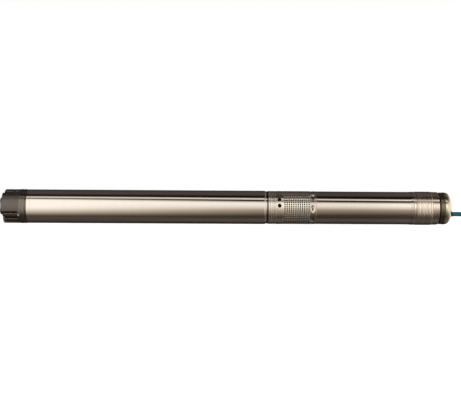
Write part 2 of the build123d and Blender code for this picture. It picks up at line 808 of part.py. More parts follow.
with BuildPart() as motor_shaft:
    with BuildSketch(MID):
        with BuildLine():
            Polyline(
                *at([
                    (848.5, 0), (848.5, 7.4), (849.1, R_SHAFT), (910.5, R_SHAFT), (910.5, 9.0),
                    (937.5, 9.0), (937.5, 11.0), (957.5, 11.0), (957.5, 12.0), (1120.5, 12.0),
                    (1120.5, 11.0), (1137.5, 11.0), (1137.5, 9.0), (1167.5, 9.0),
                    (1167.5, R_SHAFT), (1180.9, R_SHAFT), (1180.9, 0),
                ]),
                close=True,
            )
        make_face()
    revolve(axis=PUMP_AXIS)
motor_shaft.part.label = "motor_shaft"
export_step(motor_shaft.part, "parts/motor_shaft.step")

# ---------------------------------------------------------------------------
# Motor, lower end
# ---------------------------------------------------------------------------
with BuildPart() as lower_bearing_carrier:
    with BuildSketch(MID):
        with BuildLine():
            Polyline(
                *at([
                    (1142.5, 12.55), (1142.5, 17.5), (1157.5, 17.5), (1157.5, 34.5),
                    (1142.5, 34.5), (1142.5, 46.2), (1167.5, 46.2), (1167.5, 12.55),
                ]),
                close=True,
            )
        make_face()
    revolve(axis=PUMP_AXIS)
    # passage of the winding leads
    with BuildSketch(cross(1137.5)):
        with Locations((0, -39.5)):
            RectangleRounded(12.0, 6.0, 2.0)
    extrude(amount=35.0, mode=Mode.SUBTRACT)
lower_bearing_carrier.part.label = "lower_bearing_carrier"
export_step(lower_bearing_carrier.part, "parts/lower_bearing_carrier.step")

with BuildPart() as lower_bearing_bush:
    with BuildSketch(cross(1143.5)):
        Circle(12.5)
        Circle(9.0 + RUN, mode=Mode.SUBTRACT)
    extrude(amount=22.0)
lower_bearing_bush.part.label = "lower_bearing_bush"
export_step(lower_bearing_bush.part, "parts/lower_bearing_bush.step")

with BuildPart() as thrust_housing:
    with BuildSketch(MID):
        with BuildLine():
            Polyline(
                *at([(1167.5, 18.0), (1167.5, 34.0), (1213.7, 34.0), (1213.7, 31.0), (1171.5, 31.0), (1171.5, 18.0)]),
                close=True,
            )
        make_face()
    revolve(axis=PUMP_AXIS)
thrust_housing.part.label = "thrust_housing"
export_step(thrust_housing.part, "parts/thrust_housing.step")

with BuildPart() as thrust_collar:
    with BuildSketch(cross(1173.5)):
        Circle(24.0)
        Circle(R_SHAFT + 0.03, mode=Mode.SUBTRACT)
    extrude(amount=8.0)
    chamfer(thrust_collar.edges().filter_by(GeomType.CIRCLE).group_by(lambda e: e.radius)[-1].sort_by(Axis.X)[:1], 1.0)
thrust_collar.part.label = "thrust_collar"
export_step(thrust_collar.part, "parts/thrust_collar.step")

# six bearing segments under the collar
with BuildPart() as thrust_pads:
    with BuildSketch(cross(1181.5)):
        Circle(23.5)
        Circle(11.0, mode=Mode.SUBTRACT)
        with PolarLocations(0, 6):
            with Locations((18.0, 0)):
                Rectangle(20.0, 3.0, mode=Mode.SUBTRACT)
    extrude(amount=5.0)
thrust_pads.part.label = "thrust_pads"
export_step(thrust_pads.part, "parts/thrust_pads.step")

with BuildPart() as thrust_seat:
    with BuildSketch(MID):
        with BuildLine():
            Polyline(
                *at([(1186.5, 0), (1186.5, 30.9), (1194.5, 30.9), (1194.5, 8.0), (1205.5, 8.0), (1205.5, 0)]),
                close=True,
            )
        make_face()
    revolve(axis=PUMP_AXIS)
thrust_seat.part.label = "thrust_seat"
export_step(thrust_seat.part, "parts/thrust_seat.step")

with BuildPart() as pressure_diaphragm:
    with BuildSketch(MID):
        with BuildLine():
            Polyline(
                *at([
                    (1213.7, 33.6), (1215.7, 33.6), (1215.7, 25.5), (1225.0, 19.0), (1225.0, 0),
                    (1223.5, 0), (1223.5, 18.2), (1213.7, 25.0),
                ]),
                close=True,
            )
        make_face()
    revolve(axis=PUMP_AXIS)
pressure_diaphragm.part.label = "pressure_diaphragm"
export_step(pressure_diaphragm.part, "parts/pressure_diaphragm.step")

with BuildPart() as diaphragm_cover:
    with BuildSketch(MID):
        with BuildLine():
            Polyline(
                *at([
                    (1215.7, 33.8), (1217.7, 33.8), (1217.7, 29.5), (1229.5, 29.5), (1229.5, 4.0),
                    (1227.9, 4.0), (1227.9, 27.9), (1215.7, 27.9),
                ]),
                close=True,
            )
        make_face()
    revolve(axis=PUMP_AXIS)
diaphragm_cover.part.label = "diaphragm_cover"
export_step(diaphragm_cover.part, "parts/diaphragm_cover.step")

# end bell with its fine turned ridges
bell_outline = [(S_MOTOR_END, R_MOTOR_IN - 0.1), (S_MOTOR_END, 47.9), (S_MOTOR_END + 0.6, 48.5),
                (S_MOTOR_END + 5.4, 48.5), (S_MOTOR_END + 6.0, 47.9), (S_RIDGE, 47.9)]
for i in range(RIDGES):
    g = S_RIDGE + RIDGE_PITCH * i
    bell_outline += [(g + 0.8, R_BELL), (g + RIDGE_PITCH - 0.8, R_BELL), (g + RIDGE_PITCH, R_BELL - 0.7)]
bell_outline += [(1246.1, 47.5), (1247.1, 47.5), (1247.5, 48.1), (1251.7, 48.1), (1252.1, 47.5),
                 (1253.1, 47.5), (1253.5, 48.0), (S_BELL_END - 0.8, 48.0), (S_BELL_END, 47.2)]
with BuildPart() as end_bell:
    with BuildSketch(MID):
        with BuildLine():
            Polyline(
                *at(
                    [(1172.5, 43.0), (1172.5, R_MOTOR_IN - 0.1)]
                    + bell_outline
                    + [(S_BELL_END, 43.0)]
                ),
                close=True,
            )
        make_face()
    revolve(axis=PUMP_AXIS)
end_bell.part.label = "end_bell"
export_step(end_bell.part, "parts/end_bell.step")

with BuildPart() as cap_gasket:
    with BuildSketch(cross(S_BELL_END)):
        Circle(45.4)
        Circle(43.0, mode=Mode.SUBTRACT)
    extrude(amount=S_CAP - S_BELL_END)
cap_gasket.part.label = "cap_gasket"
export_step(cap_gasket.part, "parts/cap_gasket.step")

# end cap: neck band, rounded edge, flat face, hole of the gland
with BuildPart() as end_cap:
    with BuildSketch(MID):
        with BuildLine():
            Polyline(*at([(1290.0, 0), (1290.0, 37.5), (1252.5, 37.5), (1252.5, 42.9), (S_CAP, 42.9), (S_CAP, 46.4), (S_CAP + 0.6, R_CAP), (1284.0, R_CAP)]))
            ThreePointArc((1284.0 - HALF, R_CAP), (1297.435 - HALF, 41.435), (S_CAP_END - HALF, 28.0))
            Polyline(*at([(S_CAP_END, 28.0), (S_CAP_END, 0), (1290.0, 0)]))
        make_face()
    revolve(axis=PUMP_AXIS)
    with BuildSketch(cross(1285.0)):
        with Locations((0, -CABLE_DROP)):
            Circle(9.0)
    extrude(amount=40.0, mode=Mode.SUBTRACT)
end_cap.part.label = "end_cap"
export_step(end_cap.part, "parts/end_cap.step")

# moulded gland that tapers onto the lead
GLAND_AXIS = Axis((0, 0, AXIS_Z - CABLE_DROP), (1, 0, 0))
GLAND = Plane(origin=(0, 0, AXIS_Z - CABLE_DROP), x_dir=(1, 0, 0), z_dir=(0, -1, 0))
with BuildPart() as cable_gland:
    with BuildSketch(GLAND):
        with BuildLine():
            Polyline(
                *at([(1282.5, 0), (1282.5, 8.95), (S_CAP_END, 8.95), (S_CAP_END, 12.0), (1304.2, 12.0), (1309.5, 7.7), (S_END, 6.9), (S_END, 0)]),
                close=True,
            )
        make_face()
    revolve(axis=GLAND_AXIS)
cable_gland.part.label = "cable_gland"
export_step(cable_gland.part, "parts/cable_gland.step")

# three winding leads from the stator to the gland
with BuildPart() as motor_leads:
    for y in (-3.4, 0.0, 3.4):
        with BuildLine() as lead_line:
            FilletPolyline(
                (1137.5 - HALF, y, AXIS_Z - 39.5),
                (1233.5 - HALF, y, AXIS_Z - 39.5),
                (1254.5 - HALF, y, AXIS_Z - CABLE_DROP),
                (1282.5 - HALF, y, AXIS_Z - CABLE_DROP),
                radius=[12.0, 12.0],
            )
        with BuildSketch(Plane(origin=lead_line.line @ 0, z_dir=lead_line.line % 0)):
            Circle(1.3)
        sweep()
motor_leads.part.label = "motor_leads"
export_step(motor_leads.part, "parts/motor_leads.step")

# ---------------------------------------------------------------------------
# Free motor lead: straight exit, down to the surface, then a tied coil
# ---------------------------------------------------------------------------


def corner_radii(points):
    """0.45 of the shorter run at each corner, over the tangent of half the turn."""
    radii = []
    for a, b, c in zip(points, points[1:], points[2:]):
        into, out = Vector(*b) - Vector(*a), Vector(*c) - Vector(*b)
        turn = into.get_angle(out)
        radii.append(0.45 * min(into.length, out.length) / tan(radians(turn / 2)))
    return radii


LEAD_POINTS = [
    (S_END - HALF, 0, AXIS_Z - CABLE_DROP),
    (704.0, 0, AXIS_Z - CABLE_DROP),
    (748.0, -6.5, 12.5),
    (790.0, COIL_Y - R_OUTER, CABLE_R),
    (818.0, COIL_Y - R_OUTER, CABLE_R),
]
lead_radii = corner_radii(LEAD_POINTS)
print("lead radii", [round(r, 1) for r in lead_radii])
with BuildPart() as cable_lead:
    with BuildLine() as cable_line:
        FilletPolyline(*LEAD_POINTS, radius=lead_radii)
    with BuildSketch(Plane(origin=cable_line.line @ 0, z_dir=cable_line.line % 0)):
        Circle(CABLE_R)
    sweep()
cable_lead.part.label = "cable_lead"
export_step(cable_lead.part, "parts/cable_lead.step")
print("lead volume", cable_lead.part.volume, "section times length", 3.14159265 * CABLE_R**2 * sum(e.length for e in cable_line.edges()))

# wound lead: two turns side by side, and a top turn that ends short of a full circle
COIL_AXIS = Axis((COIL_X, COIL_Y, 0), (0, 0, 1))
with BuildPart() as cable_coil:
    with BuildSketch(Plane(origin=(COIL_X, COIL_Y, 0), x_dir=(1, 0, 0), z_dir=(0, -1, 0))):
        with BuildLine():
            Polyline(
                (R_INNER - 3.4, 0), (R_OUTER + 3.4, 0), (R_OUTER + CABLE_R, 3.2), (R_OUTER + CABLE_R, 9.6),
                (R_OUTER + 3.4, 2 * CABLE_R), (R_INNER - 3.4, 2 * CABLE_R), (R_INNER - CABLE_R, 9.6),
                (R_INNER - CABLE_R, 3.2), close=True,
            )
        make_face()
    revolve(axis=COIL_AXIS)
    start = (cos(radians(TOP_START)), sin(radians(TOP_START)), 0)
    with BuildSketch(Plane(origin=(COIL_X, COIL_Y, 0), x_dir=start, z_dir=(start[1], -start[0], 0))):
        with BuildLine():
            Polyline(
                (R_TOP - 6.0, 2 * CABLE_R - 0.5), (R_TOP + 6.0, 2 * CABLE_R - 0.5), (R_TOP + CABLE_R, 15.0),
                (R_TOP + CABLE_R, 20.5), (R_TOP + 3.4, Z_TOP + CABLE_R), (R_TOP - 3.4, Z_TOP + CABLE_R),
                (R_TOP - CABLE_R, 20.5), (R_TOP - CABLE_R, 15.0), close=True,
            )
        make_face()
    revolve(axis=COIL_AXIS, revolution_arc=TOP_END - TOP_START)
cable_coil.part.label = "cable_coil"
export_step(cable_coil.part, "parts/cable_coil.step")

# bared cores and their crimped ferrules, in line with the end of the top turn
END_A = radians(TOP_END)
END_PLANE = Plane(
    origin=(COIL_X + R_TOP * cos(END_A), COIL_Y + R_TOP * sin(END_A), Z_TOP),
    x_dir=(cos(END_A), sin(END_A), 0),
    z_dir=(-sin(END_A), cos(END_A), 0),
)
CORE_SPOTS = [(-2.7, -2.7), (2.7, -2.7), (-2.7, 2.7), (2.7, 2.7)]
with BuildPart() as core_ends:
    with BuildSketch(END_PLANE):
        with Locations(*CORE_SPOTS):
            Circle(1.8)
    extrude(amount=38.0)
core_ends.part.label = "core_ends"
export_step(core_ends.part, "parts/core_ends.step")

with BuildPart() as ferrules:
    with BuildSketch(END_PLANE.offset(38.0)):
        with Locations(*CORE_SPOTS):
            Circle(1.2)
    extrude(amount=10.0)
ferrules.part.label = "ferrules"
export_step(ferrules.part, "parts/ferrules.step")

# strap round the coil, near the end of the top turn
with BuildPart() as coil_tie:
    with BuildSketch(Plane(origin=(COIL_X, COIL_Y, 0), x_dir=(0, 1, 0), z_dir=(1, 0, 0))):
        with BuildLine():
            Polyline((52.6, 0), (75.4, 0), (77.8, 2.8), (77.8, 10.2), (70.9, 24.9), (57.1, 24.9), (50.2, 10.2), (50.2, 2.8), close=True)
        make_face()
        with BuildLine():
            Polyline((53.4, 0.9), (74.6, 0.9), (76.9, 3.2), (76.9, 9.9), (70.3, 24.0), (57.7, 24.0), (51.1, 9.9), (51.1, 3.2), close=True)
        make_face(mode=Mode.SUBTRACT)
    extrude(amount=7.0, both=True)
coil_tie.part.label = "coil_tie"
export_step(coil_tie.part, "parts/coil_tie.step")
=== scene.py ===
import json
import math

import bmesh
import bpy
from mathutils import Matrix, Vector


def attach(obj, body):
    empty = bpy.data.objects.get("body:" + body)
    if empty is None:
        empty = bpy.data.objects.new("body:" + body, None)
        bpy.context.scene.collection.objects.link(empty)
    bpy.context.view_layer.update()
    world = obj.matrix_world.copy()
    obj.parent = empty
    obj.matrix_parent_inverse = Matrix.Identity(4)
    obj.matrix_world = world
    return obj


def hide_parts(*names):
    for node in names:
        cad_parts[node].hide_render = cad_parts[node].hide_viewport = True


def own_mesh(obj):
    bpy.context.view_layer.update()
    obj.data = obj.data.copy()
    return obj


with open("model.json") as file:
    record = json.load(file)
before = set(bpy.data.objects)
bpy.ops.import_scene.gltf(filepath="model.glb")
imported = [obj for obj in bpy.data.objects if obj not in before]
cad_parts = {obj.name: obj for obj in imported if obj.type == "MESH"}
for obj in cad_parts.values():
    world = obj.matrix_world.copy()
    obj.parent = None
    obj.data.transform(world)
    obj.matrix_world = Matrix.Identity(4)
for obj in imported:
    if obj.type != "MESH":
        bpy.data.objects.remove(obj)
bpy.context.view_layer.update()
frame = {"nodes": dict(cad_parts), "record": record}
NODES = frame["nodes"]

# ---------------------------------------------------------------------------
# Shared sizes, in millimetres. Stations s run along the pump axis, with 0 at the
# moulded head's front; phi is measured round the axis from the -Y side, upward positive.
# ---------------------------------------------------------------------------
MM = 0.001
HALF = 654.0
AXIS_Z = 49.5
CABLE_R = 6.4
CABLE_DROP = 16.8
PHI_RECESS = -43.6
PHI_DIMPLE = -5.0
R_OUTER, R_INNER, R_TOP = 70.4, 57.6, 64.0
COIL_X, COIL_Y = 824.0, 48.0


def place(s, r, phi):
    """Station, radius and angle to a point in the frame."""
    a = math.radians(phi)
    return Vector(((s - HALF) * MM, -r * math.cos(a) * MM, (AXIS_Z + r * math.sin(a)) * MM))


# ---------------------------------------------------------------------------
# Camera
# ---------------------------------------------------------------------------
cam_data = bpy.data.cameras.new("camera")
cam = bpy.data.objects.new("camera", cam_data)
bpy.context.scene.collection.objects.link(cam)
bpy.context.scene.camera = cam
FOCAL_PX, YAW, ROLL = 906.97, 0.024247, 0.005651
cam_data.sensor_fit = "HORIZONTAL"
cam_data.sensor_width = 36.0
cam_data.lens = FOCAL_PX * 36.0 / 461.0
cam_data.clip_start, cam_data.clip_end = 0.1, 60.0
fwd = Vector((math.sin(YAW), math.cos(YAW), 0))
right = Vector((math.cos(YAW), -math.sin(YAW), 0))
up = Vector((0, 0, 1))
right2 = right * math.cos(ROLL) + up * math.sin(ROLL)
up2 = up * math.cos(ROLL) - right * math.sin(ROLL)
m = Matrix.Identity(4)
for i in range(3):
    m[i][0], m[i][1], m[i][2] = right2[i], up2[i], -fwd[i]
m[0][3], m[1][3], m[2][3] = -0.0571, -2.650, 0.0486
cam.matrix_world = m

# ---------------------------------------------------------------------------
# The motor lead: exit, down to the surface, then a tied coil of three turns
# ---------------------------------------------------------------------------
LEAD = [(659.0, 0, 32.7), (704.0, 0, 34.6), (748.0, -6.5, 12.5), (790.0, -22.4, 6.4), (819.0, -23.0, 6.4)]
STEP = 22.5
LAST = 820.0


def ease(t):
    t = min(1.0, max(0.0, t))
    return t * t * (3 - 2 * t)


def coil_at(theta):
    """Radius and height of the wound lead at the running angle theta."""
    if theta < 150:
        return R_OUTER, CABLE_R
    if theta < 210:
        return R_OUTER - (R_OUTER - R_INNER) * ease((theta - 150) / 60), CABLE_R
    if theta < 465:
        return R_INNER, CABLE_R
    if theta < 530:
        k = (theta - 465) / 65
        return R_INNER + (R_TOP - R_INNER) * ease((k - 0.25) / 0.75), CABLE_R + 13.0 * ease(k)
    if theta < 575:
        return R_TOP, 19.4
    return R_TOP, 19.4 - 1.9 * ease((theta - 575) / 30)


def lead_points():
    pts = [Vector(p) for p in LEAD]
    k = 0.994 / math.cos(math.radians(STEP / 2))
    theta = -70.5
    while theta < LAST - 25:
        r, z = coil_at(theta)
        a = math.radians(theta)
        pts.append(Vector((COIL_X + r * k * math.cos(a), COIL_Y + r * k * math.sin(a), z)))
        theta += STEP
    a = math.radians(LAST)
    end = Vector((COIL_X + R_TOP * math.cos(a), COIL_Y + R_TOP * math.sin(a), 17.5))
    pts.append(end - Vector((-math.sin(a), math.cos(a), 0)) * 13.0)
    pts.append(end)
    return pts


curve = bpy.data.curves.new("motor_lead", "CURVE")
curve.dimensions = "3D"
spline = curve.splines.new("NURBS")
points = lead_points()
spline.points.add(len(points) - 1)
for p, q in zip(spline.points, points):
    p.co = (q.x * MM, q.y * MM, q.z * MM, 1.0)
    p.radius = CABLE_R * MM  # the points carry the radius, so the curve's own box is its true size
spline.order_u = 3
spline.use_endpoint_u = True
spline.resolution_u = 8
curve.bevel_depth = 1.0
curve.bevel_resolution = 8
curve.use_fill_caps = True
lead = bpy.data.objects.new("motor_lead", curve)
bpy.context.scene.collection.objects.link(lead)
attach(lead, "pump")
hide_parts("cable_lead", "cable_coil")


# ---------------------------------------------------------------------------
# Materials: procedural, with noise in the frame's own coordinates
# ---------------------------------------------------------------------------
def shader(name):
    mat = bpy.data.materials.new(name)
    mat.use_nodes = True
    nt = mat.node_tree
    nt.nodes.clear()
    out = nt.nodes.new("ShaderNodeOutputMaterial")
    bsdf = nt.nodes.new("ShaderNodeBsdfPrincipled")
    nt.links.new(bsdf.outputs[0], out.inputs[0])
    coord = nt.nodes.new("ShaderNodeTexCoord")
    return mat, nt, bsdf, coord.outputs["Object"]


def noise(nt, vec, scale, detail=3.0, rough=0.55, shift=(0, 0, 0)):
    """Noise stretched by a per-axis scale, in cycles per metre."""
    mp = nt.nodes.new("ShaderNodeMapping")
    mp.inputs["Scale"].default_value = scale
    mp.inputs["Location"].default_value = shift
    nt.links.new(vec, mp.inputs["Vector"])
    n = nt.nodes.new("ShaderNodeTexNoise")
    n.inputs["Scale"].default_value = 1.0
    n.inputs["Detail"].default_value = detail
    n.inputs["Roughness"].default_value = rough
    nt.links.new(mp.outputs[0], n.inputs["Vector"])
    return n.outputs["Fac"]


def span(nt, value, lo, hi, src=(0.3, 0.7)):
    r = nt.nodes.new("ShaderNodeMapRange")
    r.inputs["From Min"].default_value, r.inputs["From Max"].default_value = src
    r.inputs["To Min"].default_value, r.inputs["To Max"].default_value = lo, hi
    nt.links.new(value, r.inputs["Value"])
    return r.outputs[0]


def tint(nt, fac, a, b):
    x = nt.nodes.new("ShaderNodeMix")
    x.data_type = "RGBA"
    x.inputs[6].default_value = (*a, 1)
    x.inputs[7].default_value = (*b, 1)
    nt.links.new(fac, x.inputs[0])
    return x.outputs[2]


def blend_col(nt, fac, a, b, mode="MIX"):
    x = nt.nodes.new("ShaderNodeMix")
    x.data_type = "RGBA"
    x.blend_type = mode
    if isinstance(fac, float):
        x.inputs[0].default_value = fac
    else:
        nt.links.new(fac, x.inputs[0])
    nt.links.new(a, x.inputs[6])
    if isinstance(b, tuple):
        x.inputs[7].default_value = (*b, 1)
    else:
        nt.links.new(b, x.inputs[7])
    return x.outputs[2]


def bump(nt, bsdf, height, distance, strength=1.0):
    b = nt.nodes.new("ShaderNodeBump")
    b.inputs["Strength"].default_value = strength
    b.inputs["Distance"].default_value = distance
    nt.links.new(height, b.inputs["Height"])
    nt.links.new(b.outputs[0], bsdf.inputs["Normal"])


def turned_steel(name, base, rough, lines=2600.0, haze=0.03, dirt=0.0, relief=0.0, coarse=0.0):
    """Stainless with a fine grain that runs round the X axis, and a slow change along the tube."""
    mat, nt, bsdf, vec = shader(name)
    fine = noise(nt, vec, (lines, 9, 9), 4.0, 0.6)
    slow = noise(nt, vec, (14, 22, 22), 2.0, 0.5, (3.1, 1.7, 0.4))
    dark = tuple(c * 0.94 for c in base)
    light = tuple(min(1.0, c * 1.045) for c in base)
    col = tint(nt, span(nt, fine, 0.0, 1.0), dark, light)
    col = blend_col(nt, span(nt, slow, 0.0, 0.55), col, tuple(c * 0.95 for c in base))
    if dirt:
        spots = noise(nt, vec, (160, 150, 150), 5.0, 0.65, (7, 2, 5))
        col = blend_col(nt, span(nt, spots, 0.0, dirt, (0.55, 0.75)), col, (base[0] * 0.55, base[1] * 0.48, base[2] * 0.38))
    if coarse:
        rings = noise(nt, vec, (430, 2.5, 2.5), 3.0, 0.7, (0.37, 0.2, 0.9))
        col = blend_col(nt, span(nt, rings, coarse, 0.0, (0.36, 0.58)), col, tuple(c * 0.30 for c in base))
    nt.links.new(col, bsdf.inputs["Base Color"])
    add = nt.nodes.new("ShaderNodeMath")
    add.operation = "ADD"
    nt.links.new(span(nt, fine, -haze, haze), add.inputs[0])
    nt.links.new(span(nt, slow, rough - haze * 0.7, rough + haze * 0.7), add.inputs[1])
    nt.links.new(add.outputs[0], bsdf.inputs["Roughness"])
    bsdf.inputs["Metallic"].default_value = 1.0
    if relief:
        bump(nt, bsdf, fine, relief)
    return mat


def plain_metal(name, base, rough, grain=700.0, relief=0.00002):
    mat, nt, bsdf, vec = shader(name)
    n = noise(nt, vec, (grain, grain, grain), 4.0)
    slow = noise(nt, vec, (45, 45, 45), 3.0, 0.5, (1, 4, 2))
    col = tint(nt, span(nt, slow, 0.0, 1.0), tuple(c * 0.86 for c in base), base)
    nt.links.new(col, bsdf.inputs["Base Color"])
    nt.links.new(span(nt, n, rough - 0.05, rough + 0.07), bsdf.inputs["Roughness"])
    bsdf.inputs["Metallic"].default_value = 1.0
    bump(nt, bsdf, n, relief)
    return mat


def moulded(name, base, rough, grain=1500.0, relief=0.00004, scuff=None, ior=1.5):
    """Moulded plastic or rubber: fine pebble, cloudy colour, faint scuffs."""
    mat, nt, bsdf, vec = shader(name)
    pebble = noise(nt, vec, (grain, grain, grain), 3.0)
    cloud = noise(nt, vec, (60, 60, 60), 4.0, 0.6, (2, 5, 1))
    col = tint(nt, span(nt, cloud, 0.0, 1.0), tuple(c * 0.82 for c in base), tuple(c * 1.12 for c in base))
    if scuff:
        marks = noise(nt, vec, (90, 420, 420), 5.0, 0.7, (9, 1, 3))
        col = blend_col(nt, span(nt, marks, 0.0, 0.6, (0.6, 0.78)), col, scuff)
    nt.links.new(col, bsdf.inputs["Base Color"])
    nt.links.new(span(nt, cloud, rough - 0.04, rough + 0.06), bsdf.inputs["Roughness"])
    bsdf.inputs["IOR"].default_value = ior
    bump(nt, bsdf, pebble, relief)
    return mat


def band(nt, vec, lo, hi, soft=0.3):
    """1 between two stations, 0 outside, from the frame's X."""
    sep = nt.nodes.new("ShaderNodeSeparateXYZ")
    nt.links.new(vec, sep.inputs[0])
    ends = []
    for edge, sign in ((lo, 1), (hi, -1)):
        r = nt.nodes.new("ShaderNodeMapRange")
        r.inputs["From Min"].default_value = (edge - HALF - sign * soft) * MM
        r.inputs["From Max"].default_value = (edge - HALF + sign * soft) * MM
        nt.links.new(sep.outputs[0], r.inputs["Value"])
        ends.append(r.outputs[0])
    m_ = nt.nodes.new("ShaderNodeMath")
    m_.operation = "MULTIPLY"
    nt.links.new(ends[0], m_.inputs[0])
    nt.links.new(ends[1], m_.inputs[1])
    return m_.outputs[0]


def zone(mat, lo, hi, colour, rough, sheen=None):
    """Another colour, roughness and reflection between two stations, taking over from the old ones: a change of
    finish, or a band of painted shade.
    """
    nt = mat.node_tree
    bsdf = next(n for n in nt.nodes if n.type == "BSDF_PRINCIPLED")
    vec = next(n for n in nt.nodes if n.type == "TEX_COORD").outputs["Object"]
    mask = band(nt, vec, lo, hi)
    old = bsdf.inputs["Base Color"].links[0].from_socket
    cloud = noise(nt, vec, (300, 60, 60), 4.0, 0.6, (4, 4, 4))
    new = tint(nt, span(nt, cloud, 0.0, 1.0), tuple(c * 0.85 for c in colour), colour)
    nt.links.new(blend_col(nt, mask, old, new), bsdf.inputs["Base Color"])
    old = bsdf.inputs["Roughness"].links[0].from_socket
    x = nt.nodes.new("ShaderNodeMix")
    nt.links.new(mask, x.inputs[0])
    nt.links.new(old, x.inputs[2])
    nt.links.new(span(nt, cloud, rough - 0.03, rough + 0.03), x.inputs[3])
    nt.links.new(x.outputs[0], bsdf.inputs["Roughness"])
    if sheen:
        nt.links.new(span(nt, mask, 0.5, sheen, (0.0, 1.0)), bsdf.inputs["Specular IOR Level"])


def paint_hole_shade(mat, radius, colour):
    """Painted shade: a dark colour inside the given radius from the axis, so hollows and the parts behind the holes
    read as shaded.
    """
    nt = mat.node_tree
    bsdf = next(n for n in nt.nodes if n.type == "BSDF_PRINCIPLED")
    vec = next(n for n in nt.nodes if n.type == "TEX_COORD").outputs["Object"]
    mp = nt.nodes.new("ShaderNodeMapping")
    mp.inputs["Location"].default_value = (0, 0, -AXIS_Z * MM)
    mp.inputs["Scale"].default_value = (0, 1, 1)
    nt.links.new(vec, mp.inputs["Vector"])
    ln = nt.nodes.new("ShaderNodeVectorMath")
    ln.operation = "LENGTH"
    nt.links.new(mp.outputs[0], ln.inputs[0])
    r = nt.nodes.new("ShaderNodeMapRange")
    r.inputs["From Min"].default_value = (radius - 0.3) * MM
    r.inputs["From Max"].default_value = (radius + 0.1) * MM
    nt.links.new(ln.outputs["Value"], r.inputs["Value"])
    old = bsdf.inputs["Base Color"].links[0].from_socket
    x = nt.nodes.new("ShaderNodeMix")
    x.data_type = "RGBA"
    nt.links.new(r.outputs[0], x.inputs[0])
    x.inputs[6].default_value = (*colour, 1)
    nt.links.new(old, x.inputs[7])
    nt.links.new(x.outputs[2], bsdf.inputs["Base Color"])


MATS = {
    "steel_insert": turned_steel("steel_insert", (0.26, 0.27, 0.235), 0.36, 1800, 0.05, 0.15),
    "head_plastic": moulded("head_plastic", (0.020, 0.0172, 0.0158), 0.27, 1700, 0.00003, (0.06, 0.053, 0.046), 1.92),
    "screw_steel": plain_metal("screw_steel", (0.85, 0.83, 0.80), 0.22),
    "inner_steel": plain_metal("inner_steel", (0.62, 0.61, 0.60), 0.32),
    "inner_plastic": moulded("inner_plastic", (0.35, 0.36, 0.36), 0.42),
    "black_rubber": moulded("black_rubber", (0.012, 0.0115, 0.011), 0.65, 2200, 0.00005, (0.03, 0.03, 0.03)),
    "shell_steel": turned_steel("shell_steel", (0.70, 0.66, 0.62), 0.085, 2600, 0.02, 0.0, 0.0000008),
    "shaft_steel": turned_steel("shaft_steel", (0.68, 0.68, 0.68), 0.18, 4000, 0.03),
    "bracket_steel": turned_steel("bracket_steel", (0.86, 0.82, 0.75), 0.20, 3200, 0.04, 0.2, 0.000003, 0.6),
    "strainer_steel": turned_steel("strainer_steel", (0.90, 0.86, 0.78), 0.17, 1200, 0.04, 0.2),
    "collar_steel": turned_steel("collar_steel", (0.66, 0.61, 0.55), 0.17, 1600, 0.03, 0.15, 0.0, 0.35),
    "motor_steel": turned_steel("motor_steel", (0.655, 0.615, 0.575), 0.085, 2600, 0.02, 0.0, 0.0000008),
    "bell_steel": turned_steel("bell_steel", (0.80, 0.745, 0.67), 0.18, 3600, 0.04, 0.15, 0.000003, 0.5),
    "cap_steel": turned_steel("cap_steel", (0.76, 0.71, 0.62), 0.20, 2200, 0.04, 0.15),
    "cast_bracket": plain_metal("cast_bracket", (0.30, 0.30, 0.31), 0.5, 420, 0.00012),
    "ceramic": moulded("ceramic", (0.25, 0.25, 0.27), 0.16, 3000, 0.000005, None, 1.7),
    "carbon": moulded("carbon", (0.06, 0.06, 0.065), 0.40, 2600),
    "lamination": turned_steel("lamination", (0.28, 0.28, 0.30), 0.45, 1900, 0.05, 0.0, 0.00003),
    "copper_winding": plain_metal("copper_winding", (0.72, 0.38, 0.20), 0.3, 600, 0.0001),
    "lead_insulation": moulded("lead_insulation", (0.20, 0.12, 0.10), 0.45),
    "cable_blue": moulded("cable_blue", (0.003, 0.125, 0.215), 0.34, 2400, 0.00003, (0.014, 0.17, 0.27)),
    "core_insulation": moulded("core_insulation", (0.10, 0.10, 0.10), 0.4),
    "tin": plain_metal("tin", (0.75, 0.75, 0.76), 0.28, 1500, 0.00001),
    "tie_black": moulded("tie_black", (0.02, 0.02, 0.021), 0.6, 900, 0.0001, (0.06, 0.06, 0.06)),
}
MATS["head_plastic"].node_tree.nodes["Principled BSDF"].inputs["Specular Tint"].default_value = (1.0, 0.90, 0.82, 1)
MATS["black_rubber"].node_tree.nodes["Principled BSDF"].inputs["Specular IOR Level"].default_value = 0.12
MATS["cable_blue"].node_tree.nodes["Principled BSDF"].inputs["Specular IOR Level"].default_value = 0.3
zone(MATS["head_plastic"], 54.5, 101.0, (0.020, 0.0168, 0.015), 0.10, 0.70)
# the cap's neck: a rougher finish, and a dark colour that is painted shade where its reflection turns away from the
# light
zone(MATS["cap_steel"], 1266.0, 1283.3, (0.20, 0.175, 0.125), 0.30)
# painted shade in the strainer's hole dishes and on the bracket seen through the holes
paint_hole_shade(MATS["bracket_steel"], 47.35, (0.035, 0.030, 0.026))
paint_hole_shade(MATS["strainer_steel"], 48.02, (0.03, 0.026, 0.022))
DARK_SCREW = plain_metal("screw_dark", (0.05, 0.046, 0.043), 0.35)
# painted shade: the parts inside the pump, seen through the strainer holes, are coloured near black
PAINTED_SHADE_INSIDE = plain_metal("painted_shade_inside", (0.04, 0.036, 0.033), 0.5)
INSIDE = ("shaft_coupling", "motor_studs", "stud_nuts", "sand_slinger", "motor_top_bracket", "suction_bearing_bush")
lead.data.materials.append(MATS["cable_blue"])

node_slot = {p["node"]: p["material_slot"] for p in frame["record"]["subparts"]}
for name, obj in NODES.items():
    key = node_slot[name]
    if not obj.data.materials:
        obj.data.materials.append(None)
    for s in obj.material_slots:
        s.link = "OBJECT"
        s.material = DARK_SCREW if name == "collar_screws" else PAINTED_SHADE_INSIDE if name in INSIDE else MATS[key]


